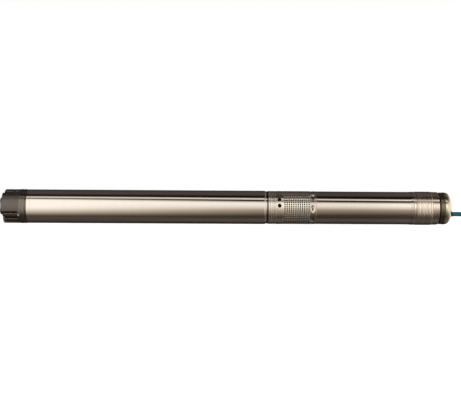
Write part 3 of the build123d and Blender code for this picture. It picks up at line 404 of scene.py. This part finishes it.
# ---------------------------------------------------------------------------
# Mesh helpers
# ---------------------------------------------------------------------------
def finish_piece(name, me, slot, nodes, body="pump", angle=32):
    me.name = name
    for p in me.polygons:
        p.use_smooth = True
    me.set_sharp_from_angle(angle=math.radians(angle))
    obj = bpy.data.objects.new(name, me)
    bpy.context.scene.collection.objects.link(obj)
    me.materials.clear()
    me.materials.append(MATS[slot])
    wn = obj.modifiers.new("even_normals", "WEIGHTED_NORMAL")
    wn.keep_sharp = True
    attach(obj, body)
    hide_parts(*nodes)
    return obj


def mesh_from(bm, name):
    bmesh.ops.recalc_face_normals(bm, faces=bm.faces[:])
    me = bpy.data.meshes.new(name)
    bm.to_mesh(me)
    bm.free()
    return me


def rounded(points, radius):
    """A closed (s, r) outline with its corners rounded; a third value overrides the radius."""
    out = []
    n = len(points)
    for i in range(n):
        p = Vector(points[i][:2])
        a = Vector(points[i - 1][:2]) - p
        b = Vector(points[(i + 1) % n][:2]) - p
        rad = points[i][2] if len(points[i]) > 2 else radius
        la, lb = a.length, b.length
        if rad <= 0 or la < 1e-6 or lb < 1e-6:
            out.append(p)
            continue
        a, b = a / la, b / lb
        ang = math.acos(max(-1, min(1, a.dot(b))))
        if ang > math.radians(165):
            out.append(p)
            continue
        t = min(rad / math.tan(ang / 2), la * 0.45, lb * 0.45)
        r = t * math.tan(ang / 2)
        c = p + (a + b).normalized() * (r / math.sin(ang / 2))
        v0, v1 = p + a * t - c, p + b * t - c
        turn = v0.angle_signed(v1)
        k = max(2, int(abs(math.degrees(turn)) / 22) + 1)
        for j in range(k + 1):
            w = turn * j / k
            out.append(c + Vector((v0.x * math.cos(w) + v0.y * math.sin(w), -v0.x * math.sin(w) + v0.y * math.cos(w))))
    return out


def lathe_bm(profile, segs=320, drop=0.0):
    """A closed outline turned round the X axis, the axis lowered by drop."""
    bm = bmesh.new()
    rows = []
    for s, r in profile:
        if r < 1e-4:
            rows.append([bm.verts.new(((s - HALF) * MM, 0, (AXIS_Z - drop) * MM))])
            continue
        row = []
        for i in range(segs):
            a = 2 * math.pi * i / segs
            row.append(bm.verts.new(((s - HALF) * MM, -r * math.cos(a) * MM, (AXIS_Z - drop + r * math.sin(a)) * MM)))
        rows.append(row)
    n = len(rows)
    for k in range(n):
        a, b = rows[k], rows[(k + 1) % n]
        if len(a) == 1 and len(b) == 1:
            continue
        for i in range(segs):
            j = (i + 1) % segs
            if len(a) == 1:
                bm.faces.new((a[0], b[j], b[i]))
            elif len(b) == 1:
                bm.faces.new((a[i], a[j], b[0]))
            else:
                bm.faces.new((a[i], a[j], b[j], b[i]))
    return bm


def drill(me, cutters):
    """The mesh less each cutter mesh, by an exact boolean."""
    base = bpy.data.objects.new("drilled", me)
    bpy.context.scene.collection.objects.link(base)
    tools = []
    for k, c in enumerate(cutters):
        t = bpy.data.objects.new(f"cutter_{k}", c)
        bpy.context.scene.collection.objects.link(t)
        mod = base.modifiers.new(f"cut_{k}", "BOOLEAN")
        mod.operation = "DIFFERENCE"
        mod.solver = "EXACT"
        mod.object = t
        tools.append(t)
    bpy.context.view_layer.update()
    dg = bpy.context.evaluated_depsgraph_get()
    new = bpy.data.meshes.new_from_object(base.evaluated_get(dg))
    bpy.data.objects.remove(base)
    for t in tools:
        bpy.data.objects.remove(t)
    return new


def rod(origin, axis, r0, r1, length, segs=48):
    """A round cutter from origin along axis; both in millimetres of the frame."""
    bm = bmesh.new()
    axis = Vector(axis).normalized()
    bmesh.ops.create_cone(bm, cap_ends=True, segments=segs, radius1=r0 * MM, radius2=r1 * MM, depth=length * MM)
    rot = Vector((0, 0, 1)).rotation_difference(axis).to_matrix().to_4x4()
    mid = Vector(origin) * MM + axis * (length * MM / 2)
    bmesh.ops.transform(bm, matrix=Matrix.Translation(mid) @ rot, verts=bm.verts[:])
    return mesh_from(bm, "cutter")


def outward(phi):
    a = math.radians(phi)
    return Vector((0, -math.cos(a), math.sin(a)))


def on(s, r, phi):
    return place(s, r, phi) / MM


# ---------------------------------------------------------------------------
# Discharge head: dome, three lobes, paired ribs in each recess, collar, spigot
# ---------------------------------------------------------------------------
def slot_half(h, R, edge, n=12, k=6):
    """Half of one groove's outline from its floor out to the circle R: (radius, angle) pairs."""
    vc = 37.0 + h
    path = [(h * math.sin(math.radians(t)), vc - h * math.cos(math.radians(t))) for t in range(0, 91, 6)]
    path += [(h, vc + 0.5 * j) for j in range(1, 30)]

    def cut(radius):
        last = path[0]
        length = 0.0
        for p in path[1:]:
            if math.hypot(*p) >= radius:
                r0, r1 = math.hypot(*last), math.hypot(*p)
                f = (radius - r0) / (r1 - r0)
                q = (last[0] + (p[0] - last[0]) * f, last[1] + (p[1] - last[1]) * f)
                return length + math.dist(last, q), q
            length += math.dist(last, p)
            last = p
        return length, last

    total, wall = cut(R - edge)
    _, corner = cut(R)
    pts = []
    for i in range(n):
        want = total * i / (n - 1)
        acc = 0.0
        last = path[0]
        for p in path[1:]:
            d = math.dist(last, p)
            if acc + d >= want - 1e-9:
                f = (want - acc) / d if d else 0
                pts.append((last[0] + (p[0] - last[0]) * f, last[1] + (p[1] - last[1]) * f))
                break
            acc += d
            last = p
    ac = math.atan2(corner[0], corner[1])
    rim = ac + edge / R
    outer = (R * math.sin(rim), R * math.cos(rim))
    for j in range(1, k + 1):
        t = j / k
        q = [(1 - t) ** 2 * wall[i] + 2 * t * (1 - t) * corner[i] + t * t * outer[i] for i in (0, 1)]
        pts.append(tuple(q))
    return [(math.hypot(*p), math.degrees(math.atan2(p[0], p[1]))) for p in pts]


GROOVES = [(-21.6, 2.55), (0.0, 4.35), (21.6, 2.55)]
LOBE_COLS, RIB_COLS = 58, 9


def head_row(R, mode, cut):
    """(r, phi) round the head at radius R, the ribs lower by cut; mode is plain, slots or front."""
    out = []
    edge, crown = (1.0, 2.3) if R > 42 else (0.5, 0.5)
    for k in range(3):
        mid = PHI_RECESS + 120 * k
        sides = []
        for gi, (off, h) in enumerate(GROOVES):
            pair = []
            for side in (-1, 1):
                lobe = gi != 1 and side == off / abs(off)
                rr = R if lobe or not cut else max(40.3, R - cut)
                half = slot_half(h, max(rr, 40.3), edge if lobe else crown)
                top, n = half[-1][1], len(half)
                if mode == "plain":
                    half = [(R, top * i / (n - 1)) for i in range(n)]
                elif mode == "front" and not lobe:
                    half = [(min(R, 31.0), top * i / (n - 1)) for i in range(n)]
                elif mode == "front":
                    # the outer flank of a side groove steps up to the lobe
                    low = min(R, 31.0)
                    high = max(low, R - 0.8)
                    half = []
                    for i in range(n):
                        if i < 6:
                            half.append((low, (top - 1.2) * i / 5))
                        elif i < n - 6:
                            f = (i - 5) / (n - 11)
                            half.append((low + (high - low) * f, top - 1.2 + 0.3 * f))
                        else:
                            f = (i - (n - 7)) / 6
                            half.append((high + (R - high) * math.sin(f * math.pi / 2), top - 0.9 + 0.9 * (1 - math.cos(f * math.pi / 2))))
                pair.append(half)
            sides.append(pair)
        for gi, (off, h) in enumerate(GROOVES):
            left, right_ = sides[gi]
            out += [(r, mid + off - a) for r, a in reversed(left)]
            out += [(r, mid + off + a) for r, a in right_[1:]]
            if gi < 2:
                a0 = mid + off + right_[-1][1]
                a1 = mid + GROOVES[gi + 1][0] - sides[gi + 1][0][-1][1]
                rr = min(R, 31.0) if mode == "front" else max(40.3, R - cut) if cut else R
                out += [(rr, a0 + (a1 - a0) * i / RIB_COLS) for i in range(1, RIB_COLS)]
        edge_a = sides[2][1][-1][1]
        a0 = mid + GROOVES[2][0] + edge_a
        a1 = mid + 120 + GROOVES[0][0] - edge_a
        out += [(R, a0 + (a1 - a0) * i / LOBE_COLS) for i in range(1, LOBE_COLS)]
    return out


FRONT = [(1.5, 25.0), (1.5, 27.5), (2.4, 34.0), (3.8, 41.0), (4.8, 46.0), (5.6, 48.2), (6.6, 48.9), (7.5, 48.9)]


def front_rows():
    """The moulded front as (s, R), its corners eased and evenly divided."""
    pts = [Vector(p) for p in FRONT]
    for _ in range(2):
        out = [pts[0]]
        for a, b in zip(pts, pts[1:]):
            out += [a * 0.75 + b * 0.25, a * 0.25 + b * 0.75]
        pts = out + [pts[-1]]
    total = sum((b - a).length for a, b in zip(pts, pts[1:]))
    want, got, acc = 34, [], 0.0
    for a, b in zip(pts, pts[1:]):
        step = (b - a).length
        while len(got) < want and len(got) * total / want <= acc + step:
            f = (len(got) * total / want - acc) / step
            got.append(a + (b - a) * f)
        acc += step
    return got


rows = []
for p in front_rows():
    rows.append((min(p.x, 7.4), p.y, "plain" if p.y < 31.0 else "front", 0.0))
rows += [(8.4, 48.9, "front", 0.0), (9.4, 48.9, "front", 0.0), (9.98, 48.9, "front", 0.0)]
rows.append((10.0, 48.9, "slots", 6.0))
rows.append((10.0, 48.9, "slots", 1.7))
for s, cut in ((10.12, 1.05), (10.45, 0.5), (10.95, 0.15), (11.6, 0.0), (14, 0.0), (18, 0.0), (22, 0.0), (26, 0.0), (30, 0.0), (34, 0.0),
               (38, 0.0), (42, 0.0), (46, 0.0), (48.5, 0.0), (49.6, 0.0), (50.0, 0.0)):
    rows.append((s, 48.9, "slots", cut))
rows.append((50.02, 48.9, "plain", 0.0))
rows += [(50.6, 48.9, "plain", 0.0), (52.5, 48.9, "plain", 0.0), (53.9, 48.9, "plain", 0.0), (54.5, 49.15, "plain", 0.0), (55.0, 49.42, "plain", 0.0), (55.5, 49.5, "plain", 0.0),
         (58, 49.5, "plain", 0.0), (61.0, 49.5, "plain", 0.0), (61.5, 49.38, "plain", 0.0), (61.9, 49.05, "plain", 0.0), (63.6, 48.95, "plain", 0.0),
         (65.2, 49.05, "plain", 0.0), (65.7, 49.35, "plain", 0.0), (66.2, 49.45, "plain", 0.0), (69.3, 49.45, "plain", 0.0), (69.8, 49.35, "plain", 0.0),
         (70.3, 49.1, "plain", 0.0), (71.6, 49.0, "plain", 0.0), (72.0, 48.7, "plain", 0.0), (72.3, 47.9, "plain", 0.0), (74.3, 47.9, "plain", 0.0),
         (74.6, 48.3, "plain", 0.0), (75.0, 48.3, "plain", 0.0), (75.0, 46.9, "plain", 0.0), (86.0, 46.9, "plain", 0.0), (86.0, 44.6, "plain", 0.0), (90.0, 44.6, "plain", 0.0),
         (90.0, 46.9, "plain", 0.0), (100.4, 46.9, "plain", 0.0), (101.0, 46.3, "plain", 0.0), (101.0, 42.0, "plain", 0.0), (88.0, 28.95, "plain", 0.0),
         (84.2, 28.95, "plain", 0.0), (84.2, 30.4, "plain", 0.0), (82.2, 30.4, "plain", 0.0), (82.2, 28.95, "plain", 0.0), (76.0, 28.95, "plain", 0.0),
         (76.0, 27.0, "plain", 0.0), (34.0, 27.0, "plain", 0.0), (34.0, 22.0, "plain", 0.0), (26.0, 22.0, "plain", 0.0), (26.0, 25.0, "plain", 0.0)]
bm = bmesh.new()
ring = []
for s, R, mode, cut in rows:
    ring.append([bm.verts.new(place(s, r, phi)) for r, phi in head_row(R, mode, cut)])
for k in range(len(ring)):
    a, b = ring[k], ring[(k + 1) % len(ring)]
    for i in range(len(a)):
        j = (i + 1) % len(a)
        bm.faces.new((a[i], a[j], b[j], b[i]))
bmesh.ops.remove_doubles(bm, verts=bm.verts[:], dist=0.000004)
head = mesh_from(bm, "discharge_head_moulding")
cutters = []
for k in range(3):
    phi = PHI_RECESS + 120 * k
    a = math.radians(phi)
    along = Vector((0, math.sin(a), math.cos(a)))
    cutters.append(rod(on(40.0, 43.0, phi) - along * 16.0, along, 3.5, 3.5, 32.0))
phi = PHI_RECESS + 11.0
cutters.append(rod(on(52.6, 46.8, phi), outward(phi), 3.5, 3.5, 6.0))
head = drill(head, cutters)
finish_piece("discharge_head_moulding", head, "head_plastic", ["discharge_head"])

# ---------------------------------------------------------------------------
# Thread ring in the port, with its real helical thread
# ---------------------------------------------------------------------------
PITCH = 2.309


def thread_r(s, phi):
    t = ((s + 5.0 - PITCH * phi / 360.0) / PITCH) % 1.0
    tri = 1 - abs(2 * t - 1)
    crest = min(1.0, max(0.0, (tri - 0.14) / 0.72))
    fade = min(1.0, max(0.0, (s + 4.4) / 1.6))
    return 20.95 - 1.45 * crest * fade


bm = bmesh.new()
ring = []
steps = [-4.7 + 0.21 * i for i in range(147)]
for s in steps:
    ring.append([bm.verts.new(place(min(s, 26.0), thread_r(s, 2.5 * i), 2.5 * i)) for i in range(144)])
for s, r in [(26.0, 25.0), (1.5, 25.0), (1.5, 24.4), (-4.2, 24.4), (-4.75, 24.2), (-5.0, 23.6), (-5.0, 21.4), (-4.9, 21.1)]:
    ring.append([bm.verts.new(place(s, r, 2.5 * i)) for i in range(144)])
for k in range(len(ring)):
    a, b = ring[k], ring[(k + 1) % len(ring)]
    for i in range(144):
        j = (i + 1) % 144
        bm.faces.new((a[i], a[j], b[j], b[i]))
finish_piece("port_thread_ring", mesh_from(bm, "port_thread_ring"), "steel_insert", ["thread_insert"], angle=50)

# ---------------------------------------------------------------------------
# Turned pieces
# ---------------------------------------------------------------------------
shell = rounded([(75.2, 47.2), (75.2, 48.3), (75.7, 48.8), (84.6, 48.8), (85.0, 48.55), (85.4, 48.8), (757.6, 48.8), (758.1, 48.5),
                 (758.6, 48.8), (760.7, 48.8), (761.6, 48.2), (761.9, 47.35), (765.5, 47.35), (765.5, 47.2)], 0.2)
finish_piece("pump_shell_tube", mesh_from(lathe_bm(shell, 360), "pump_shell_tube"), "shell_steel", ["pump_shell"])

motor = rounded([(907.5, 46.3), (907.5, 47.3), (908.1, 47.8), (1180.5, 47.8, 6), (1185.5, 48.3, 6), (1190.0, 48.3), (1190.5, 47.8), (1190.5, 46.3)], 0.25)
finish_piece("motor_shell_tube", mesh_from(lathe_bm(motor, 360), "motor_shell_tube"), "motor_steel", ["motor_shell"])

bell = [(1172.5, 43.0), (1172.5, 46.2), (1190.5, 46.2), (1190.5, 47.9), (1191.1, 48.5), (1195.9, 48.5), (1196.5, 47.9), (1199.5, 47.9)]
for i in range(11):
    g = 1199.5 + 4.2 * i
    bell += [(g + 1.2, 48.95, 0.3), (g + 3.0, 48.95, 0.3), (g + 4.1, 48.05, 0.15)]
bell += [(1246.1, 47.5), (1247.1, 47.5), (1247.5, 48.1), (1251.7, 48.1), (1252.1, 47.5), (1253.1, 47.5), (1253.5, 48.0), (1264.7, 48.0),
         (1265.5, 47.2), (1265.5, 43.0)]
finish_piece("end_bell_turning", mesh_from(lathe_bm(rounded(bell, 0.2), 320), "end_bell_turning"), "bell_steel", ["end_bell"])

gasket = rounded([(1265.5, 43.0), (1265.5, 43.9), (1266.2, 44.2), (1269.3, 44.2), (1270.0, 43.9), (1270.0, 43.0)], 0.4)
finish_piece("cap_gasket_ring", mesh_from(lathe_bm(gasket, 256), "cap_gasket_ring"), "black_rubber", ["cap_gasket"])

cap = [(1290.0, 0, 0), (1290.0, 37.5), (1252.5, 37.5), (1252.5, 42.9), (1270.0, 42.9), (1270.0, 46.0), (1270.5, 46.5), (1281.8, 46.5), (1282.3, 47.0), (1284.0, 47.0, 0)]
for d in range(5, 90, 5):
    a = math.radians(d)
    cap.append((1284.0 + 19.0 * math.sin(a) ** 0.82, 28.0 + 19.0 * math.cos(a) ** 0.82, 0))
cap += [(1303.0, 28.0, 0), (1303.0, 18.0, 0), (1303.0, 0, 0)]
cap_me = drill(mesh_from(lathe_bm(rounded(cap, 0.25), 320), "end_cap_turning"), [rod((1288.0 - HALF, 0, AXIS_Z - CABLE_DROP), (1, 0, 0), 9.0, 9.0, 20.0, 64)])
finish_piece("end_cap_turning", cap_me, "cap_steel", ["end_cap"])

gland = [(1282.5, 0, 0), (1282.5, 8.95), (1303.0, 8.95, 0), (1303.0, 12.0), (1304.2, 12.0, 0.6), (1306.3, 10.1), (1306.8, 9.2), (1307.4, 9.3), (1308.6, 8.3),
         (1309.2, 7.4), (1309.9, 7.6), (1311.2, 7.3), (1313.0, 6.9), (1313.0, 0, 0)]
finish_piece("cable_gland_boot", mesh_from(lathe_bm(rounded(gland, 0.3), 96, CABLE_DROP), "cable_gland_boot"), "black_rubber", ["cable_gland"])

# closing spring of the valve, with closed end turns
bm = bmesh.new()
WIRE, COIL_R, TURNS, STEPS = 0.6, 5.0, 6.0, 240


def spring_point(u):
    t = u * TURNS
    s = 46.75 + 1.3 * min(t, 0.8) + 1.3 * max(0.0, t - (TURNS - 0.8)) + (22.5 - 2.08) * max(0.0, min(1.0, (t - 0.8) / (TURNS - 1.6)))
    return place(s, COIL_R, 360.0 * t)


rings = []
for k in range(STEPS + 1):
    c = spring_point(k / STEPS)
    along = (spring_point(min(k + 1, STEPS) / STEPS) - spring_point(max(k - 1, 0) / STEPS)).normalized()
    outward = Vector((0, c.y, c.z - AXIS_Z * MM)).normalized()
    side = along.cross(outward).normalized()
    outward = side.cross(along).normalized()
    rings.append([bm.verts.new(c + (outward * math.cos(math.pi * q / 6) + side * math.sin(math.pi * q / 6)) * WIRE * MM) for q in range(12)])
for a, b in zip(rings, rings[1:]):
    for q in range(12):
        bm.faces.new((a[q], a[(q + 1) % 12], b[(q + 1) % 12], b[q]))
bm.faces.new(rings[0])
bm.faces.new(rings[-1])
spring_slot = node_slot["valve_spring"]
spring = finish_piece("valve_spring_coil", mesh_from(bm, "valve_spring_coil"), spring_slot, ["valve_spring"])
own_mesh(spring)

# ---------------------------------------------------------------------------
# Perforated strainer: every hole dished in from the outside
# ---------------------------------------------------------------------------
bm = bmesh.new()
ROWS, COLS, HP, HR, THROAT, RS, WALL = 48, 12, 6.3, 2.4, 1.35, 48.15, 1.0
S0 = 816.9
half_w = math.radians(360.0 / ROWS / 2) * RS
N = 24


def hole_ring(s0, phi0, radius, depth):
    return [place(s0 + radius * math.cos(2 * math.pi * i / N), RS - depth,
                  phi0 + math.degrees(radius * math.sin(2 * math.pi * i / N) / RS)) for i in range(N)]


def cell_ring(s_lo, s_hi, s0, phi0, depth):
    pts = []
    for i in range(N):
        a = 2 * math.pi * i / N
        c, d = math.cos(a), math.sin(a)
        ws = (s_hi - s0) if c > 0 else (s0 - s_lo)
        t = min(ws / abs(c) if abs(c) > 1e-9 else 1e9, half_w / abs(d) if abs(d) > 1e-9 else 1e9)
        pts.append(place(s0 + t * c, RS - depth, phi0 + math.degrees(t * d / RS)))
    return pts


corner_sets = []
for i in range(ROWS):
    phi0 = PHI_DIMPLE + 360.0 * i / ROWS
    for j in range(COLS):
        s0 = S0 + HP * j
        lo = 812.0 if j == 0 else s0 - HP / 2
        hi = 889.2 if j == COLS - 1 else s0 + HP / 2
        loops = [cell_ring(lo, hi, s0, phi0, 0.0), hole_ring(s0, phi0, HR + 0.35, 0.0), hole_ring(s0, phi0, HR + 0.12, 0.09),
                 hole_ring(s0, phi0, HR - 0.05, 0.25), hole_ring(s0, phi0, HR - 0.6, 0.6), hole_ring(s0, phi0, THROAT, WALL), cell_ring(lo, hi, s0, phi0, WALL)]
        vs = [[bm.verts.new(p) for p in loop] for loop in loops]
        for a, b in zip(vs, vs[1:]):
            for q in range(N):
                w = (q + 1) % N
                bm.faces.new((a[q], a[w], b[w], b[q]))
        # corners of the cell, closed by triangles
        for depth, loop in ((0.0, vs[0]), (WALL, vs[-1])):
            pts = [v.co.copy() for v in loop]
            for sx, sy in ((1, 1), (-1, 1), (-1, -1), (1, -1)):
                cs = hi if sx > 0 else lo
                cphi = phi0 + sy * 180.0 / ROWS
                corner = place(cs, RS - depth, cphi)
                for q in range(N):
                    w = (q + 1) % N
                    aq, aw = 2 * math.pi * q / N, 2 * math.pi * w / N
                    ws = (hi - s0) if sx > 0 else (s0 - lo)
                    ca = math.atan2(sy * half_w, sx * ws) % (2 * math.pi)
                    hi_a = aw if aw > aq else aw + 2 * math.pi
                    if aq + 1e-6 < ca < hi_a - 1e-6:
                        bm.faces.new((loop[q], bm.verts.new(corner), loop[w]))
        if j in (0, COLS - 1):
            corner_sets.append((lo if j == 0 else hi, phi0))
bmesh.ops.remove_doubles(bm, verts=bm.verts[:], dist=0.00002)
edges = [e for e in bm.edges if e.is_boundary]
# rim of the sleeve at both ends: join the outer and inner skins
for s_end in (812.0, 889.2):
    x = (s_end - HALF) * MM
    loop_e = [e for e in edges if e.is_valid and all(abs(v.co.x - x) < 1e-5 for v in e.verts)]
    if loop_e:
        bmesh.ops.bridge_loops(bm, edges=loop_e)
finish_piece("strainer_sleeve", mesh_from(bm, "strainer_sleeve"), "strainer_steel", ["strainer_screen"], angle=40)

# ---------------------------------------------------------------------------
# Dimpled collar over the flange joint
# ---------------------------------------------------------------------------
bm = bmesh.new()
prof = rounded([(889.2, 43.8), (889.2, 47.8), (889.7, 48.2), (906.7, 48.2), (907.5, 47.4), (907.5, 43.8)], 0.2)
dense = []
for k, p in enumerate(prof):
    q = prof[(k + 1) % len(prof)]
    dense.append(p)
    length = (q - p).length
    if length > 2 and min(p.y, q.y) > 47:
        n = int(length / 0.3)
        dense += [p + (q - p) * (i / n) for i in range(1, n)]
COLN = 960
ring = []
for s, r in dense:
    row = []
    for i in range(COLN):
        phi = 360.0 * i / COLN
        rr = r
        if r > 47.0:
            d = (phi - PHI_DIMPLE + 22.5) % 45.0 - 22.5
            v = math.radians(d) * r
            # taller than wide, narrowing towards its lower end
            u = math.hypot((s - 897.5) * (1.0 + max(0.0, -v) * 0.035), v * 0.72)
            # a spherical dent with a soft shoulder
            raw = 57.2 - math.sqrt(max(0.0, 144.0 - u * u)) if u < 8.6 else 60.0
            k = 0.35
            h = max(0.0, min(1.0, 0.5 + 0.5 * (rr - raw) / k))
            rr = rr * (1 - h) + raw * h - k * h * (1 - h) * 0.5 if raw < 59 else rr
            flat = max(abs(s - 897.5) - 1.2, 0.0) ** 2 + max(abs(v + 1.0) - 5.0, 0.0) ** 2
            rr = max(rr - 1.5 * ease(1.35 - math.sqrt(flat) / 0.8), 45.4)
        row.append(bm.verts.new(place(s, rr, phi)))
    ring.append(row)
for k in range(len(ring)):
    a, b = ring[k], ring[(k + 1) % len(ring)]
    for i in range(COLN):
        j = (i + 1) % COLN
        bm.faces.new((a[i], a[j], b[j], b[i]))
finish_piece("dimpled_collar", mesh_from(bm, "dimpled_collar"), "collar_steel", ["strainer_collar"], angle=40)

# ---------------------------------------------------------------------------
# Stage and light
# ---------------------------------------------------------------------------
bm = bmesh.new()
bmesh.ops.create_grid(bm, x_segments=8, y_segments=8, size=20.0)
for f in bm.faces:
    f.smooth = True
me = bpy.data.meshes.new("floor")
bm.to_mesh(me)
bm.free()
floor = bpy.data.objects.new("floor", me)
bpy.context.scene.collection.objects.link(floor)
floor.location.z = -0.0004
mat, nt, bsdf, vec = shader("floor_paper")
soft = noise(nt, vec, (3, 3, 3), 3.0)
nt.links.new(tint(nt, soft, (0.80, 0.80, 0.80), (0.86, 0.86, 0.86)), bsdf.inputs["Base Color"])
bsdf.inputs["Roughness"].default_value = 0.9
bsdf.inputs["Emission Color"].default_value = (1, 1, 1, 1)
bsdf.inputs["Emission Strength"].default_value = 0.80
me.materials.append(mat)
floor.visible_glossy = False
floor.visible_diffuse = False
floor.visible_shadow = False

world = bpy.data.worlds.new("studio")
bpy.context.scene.world = world
world.use_nodes = True
nt = world.node_tree
nt.nodes.clear()
out = nt.nodes.new("ShaderNodeOutputWorld")
bg = nt.nodes.new("ShaderNodeBackground")
coord = nt.nodes.new("ShaderNodeTexCoord")
xyz = nt.nodes.new("ShaderNodeSeparateXYZ")
nt.links.new(coord.outputs["Generated"], xyz.inputs[0])
neg = nt.nodes.new("ShaderNodeMath")
neg.operation = "MULTIPLY"
neg.inputs[1].default_value = -1.0
nt.links.new(xyz.outputs[1], neg.inputs[0])
ang = nt.nodes.new("ShaderNodeMath")
ang.operation = "ARCTAN2"
nt.links.new(xyz.outputs[2], ang.inputs[0])
nt.links.new(neg.outputs[0], ang.inputs[1])
pos = nt.nodes.new("ShaderNodeMapRange")
pos.inputs["From Min"].default_value = -math.pi
pos.inputs["From Max"].default_value = math.pi
nt.links.new(ang.outputs[0], pos.inputs["Value"])
# the boxes stand near one end, so their edges spread a little along the tube
lean = nt.nodes.new("ShaderNodeValToRGB")
nt.links.new(pos.outputs[0], lean.inputs[0])
spread = lean.color_ramp.elements
for k, (deg, g) in enumerate([(-180, 0.5), (-75, 0.5), (-52, 0.06), (-28, 0.06), (5, 0.5), (25, 0.72), (68, 0.72), (86, 0.5)]):
    e = spread[k] if k < 2 else spread.new((deg + 180) / 360.0)
    e.position = (deg + 180) / 360.0
    e.color = (g, g, g, 1)
near = nt.nodes.new("ShaderNodeMapRange")
near.inputs["From Min"].default_value = -0.4
near.inputs["From Max"].default_value = 0.4
near.inputs["To Min"].default_value = -0.4 * 100 / 360
near.inputs["To Max"].default_value = 0.4 * 100 / 360
nt.links.new(xyz.outputs[0], near.inputs["Value"])
centred = nt.nodes.new("ShaderNodeMath")
centred.operation = "SUBTRACT"
nt.links.new(lean.outputs[0], centred.inputs[0])
centred.inputs[1].default_value = 0.5
moved = nt.nodes.new("ShaderNodeMath")
moved.operation = "MULTIPLY_ADD"
nt.links.new(centred.outputs[0], moved.inputs[0])
nt.links.new(near.outputs[0], moved.inputs[1])
nt.links.new(pos.outputs[0], moved.inputs[2])
# softboxes and flags in a fan round the tube: direction in degrees (0 front, 90 above), level;
# the boxes are longer at the left, so the fan differs between the two sides; a slim strip stands low behind
FAN_L = [(-180, 0.65), (-164, 0.02), (-134, 0.045), (-112, 0.075), (-96, 0.095), (-84, 0.105), (-72, 0.09), (-60, 0.17), (-48, 0.36),
         (-36, 0.66), (-24, 0.98), (-14, 1.26), (-5, 1.45), (4, 1.5), (30, 1.5), (40, 1.45), (43.5, 1.2), (46.5, 0.55), (49, 0.2),
         (53.5, 0.2), (56, 0.95), (62, 1.0), (66, 0.55), (69, 0.06), (80, 0.0), (88, 0.05), (104, 0.10), (132, 0.07), (161, 0.03), (169, 0.65), (180, 0.65)]
FAN_R = [(-180, 0.65), (-164, 0.02), (-134, 0.035), (-112, 0.10), (-96, 0.12), (-84, 0.085), (-72, 0.05), (-60, 0.08), (-50, 0.17),
         (-43, 0.25), (-29, 0.38), (-20, 0.49), (-10, 0.76), (0, 1.0), (10, 1.18), (19, 1.28), (30, 1.3), (36, 1.0), (41, 0.5),
         (45, 0.08), (47.5, 0.0), (54.5, 0.0), (57, 1.0), (63.5, 1.05), (67, 0.6), (69.5, 0.02), (80, 0.0), (88, 0.05), (104, 0.10), (161, 0.04), (169, 0.65), (180, 0.65)]


def across(lo, hi, a=0.0, b=1.0):
    """From a to b as the direction's X goes from lo to hi."""
    r = nt.nodes.new("ShaderNodeMapRange")
    r.interpolation_type = "SMOOTHSTEP"
    r.inputs["From Min"].default_value, r.inputs["From Max"].default_value = lo, hi
    r.inputs["To Min"].default_value, r.inputs["To Max"].default_value = a, b
    nt.links.new(xyz.outputs[0], r.inputs["Value"])
    return r.outputs[0]


def mixed(fac, a, b):
    x = nt.nodes.new("ShaderNodeMix")
    x.data_type = "RGBA"
    nt.links.new(fac, x.inputs[0])
    nt.links.new(a, x.inputs[6])
    nt.links.new(b, x.inputs[7])
    return x.outputs[2]


def fill(node, table, warm=1.0):
    els = node.color_ramp.elements
    while len(els) > 1:
        els.remove(els[-1])
    for k, (deg, level) in enumerate(table):
        e = els[0] if k == 0 else els.new((deg + 180) / 360.0)
        e.position = (deg + 180) / 360.0
        w = min(1.0, max(0.0, (level - 0.45) / 0.9))
        low = 0.64 if -76 < deg < 70 else 0.76
        e.color = (level, level * (0.82 + 0.135 * w), level * (low + (0.89 - low) * w) * warm, 1)


def fan(table, warm=1.0):
    r = nt.nodes.new("ShaderNodeValToRGB")
    fill(r, table, warm)
    nt.links.new(moved.outputs[0], r.inputs[0])
    return r.outputs[0]


last = mixed(across(-0.24, 0.10), fan(FAN_L), fan(FAN_R))
gain = nt.nodes.new("ShaderNodeMix")
gain.data_type = "RGBA"
gain.blend_type = "MULTIPLY"
gain.inputs[0].default_value = 1.0
nt.links.new(last, gain.inputs[6])
nt.links.new(across(0.165, 0.225, 1.0, 1.24), gain.inputs[7])
last = gain.outputs[2]
# a bright card at the +X end, a dark room at the other; both by height
height = nt.nodes.new("ShaderNodeMapRange")
height.inputs["From Min"].default_value = -1.0
nt.links.new(xyz.outputs[2], height.inputs["Value"])


def wall(table, warm=1.0):
    r = nt.nodes.new("ShaderNodeValToRGB")
    fill(r, [(z * 180.0, level) for z, level in table], warm)
    nt.links.new(height.outputs[0], r.inputs[0])
    return r.outputs[0]


CARD = [(-1, 0.12), (-0.8, 0.13), (-0.55, 0.36), (-0.35, 0.8), (-0.2, 1.12), (0.4, 1.15), (0.55, 0.7), (0.68, 0.3), (0.85, 0.1), (1, 0.07)]
DARK = [(-1, 0.03), (-0.4, 0.08), (0.0, 0.14), (0.4, 0.12), (0.8, 0.03)]
last = mixed(across(0.33, 0.60), last, wall(CARD, 0.95))
last = mixed(across(-0.80, -0.97), last, wall(DARK))
nt.links.new(last, bg.inputs[0])
white = nt.nodes.new("ShaderNodeBackground")
white.inputs[0].default_value = (1, 1, 1, 1)
path = nt.nodes.new("ShaderNodeLightPath")
mix = nt.nodes.new("ShaderNodeMixShader")
nt.links.new(path.outputs["Is Camera Ray"], mix.inputs[0])
nt.links.new(bg.outputs[0], mix.inputs[1])
nt.links.new(white.outputs[0], mix.inputs[2])
nt.links.new(mix.outputs[0], out.inputs[0])
bpy.context.scene.view_settings.view_transform = "Standard"
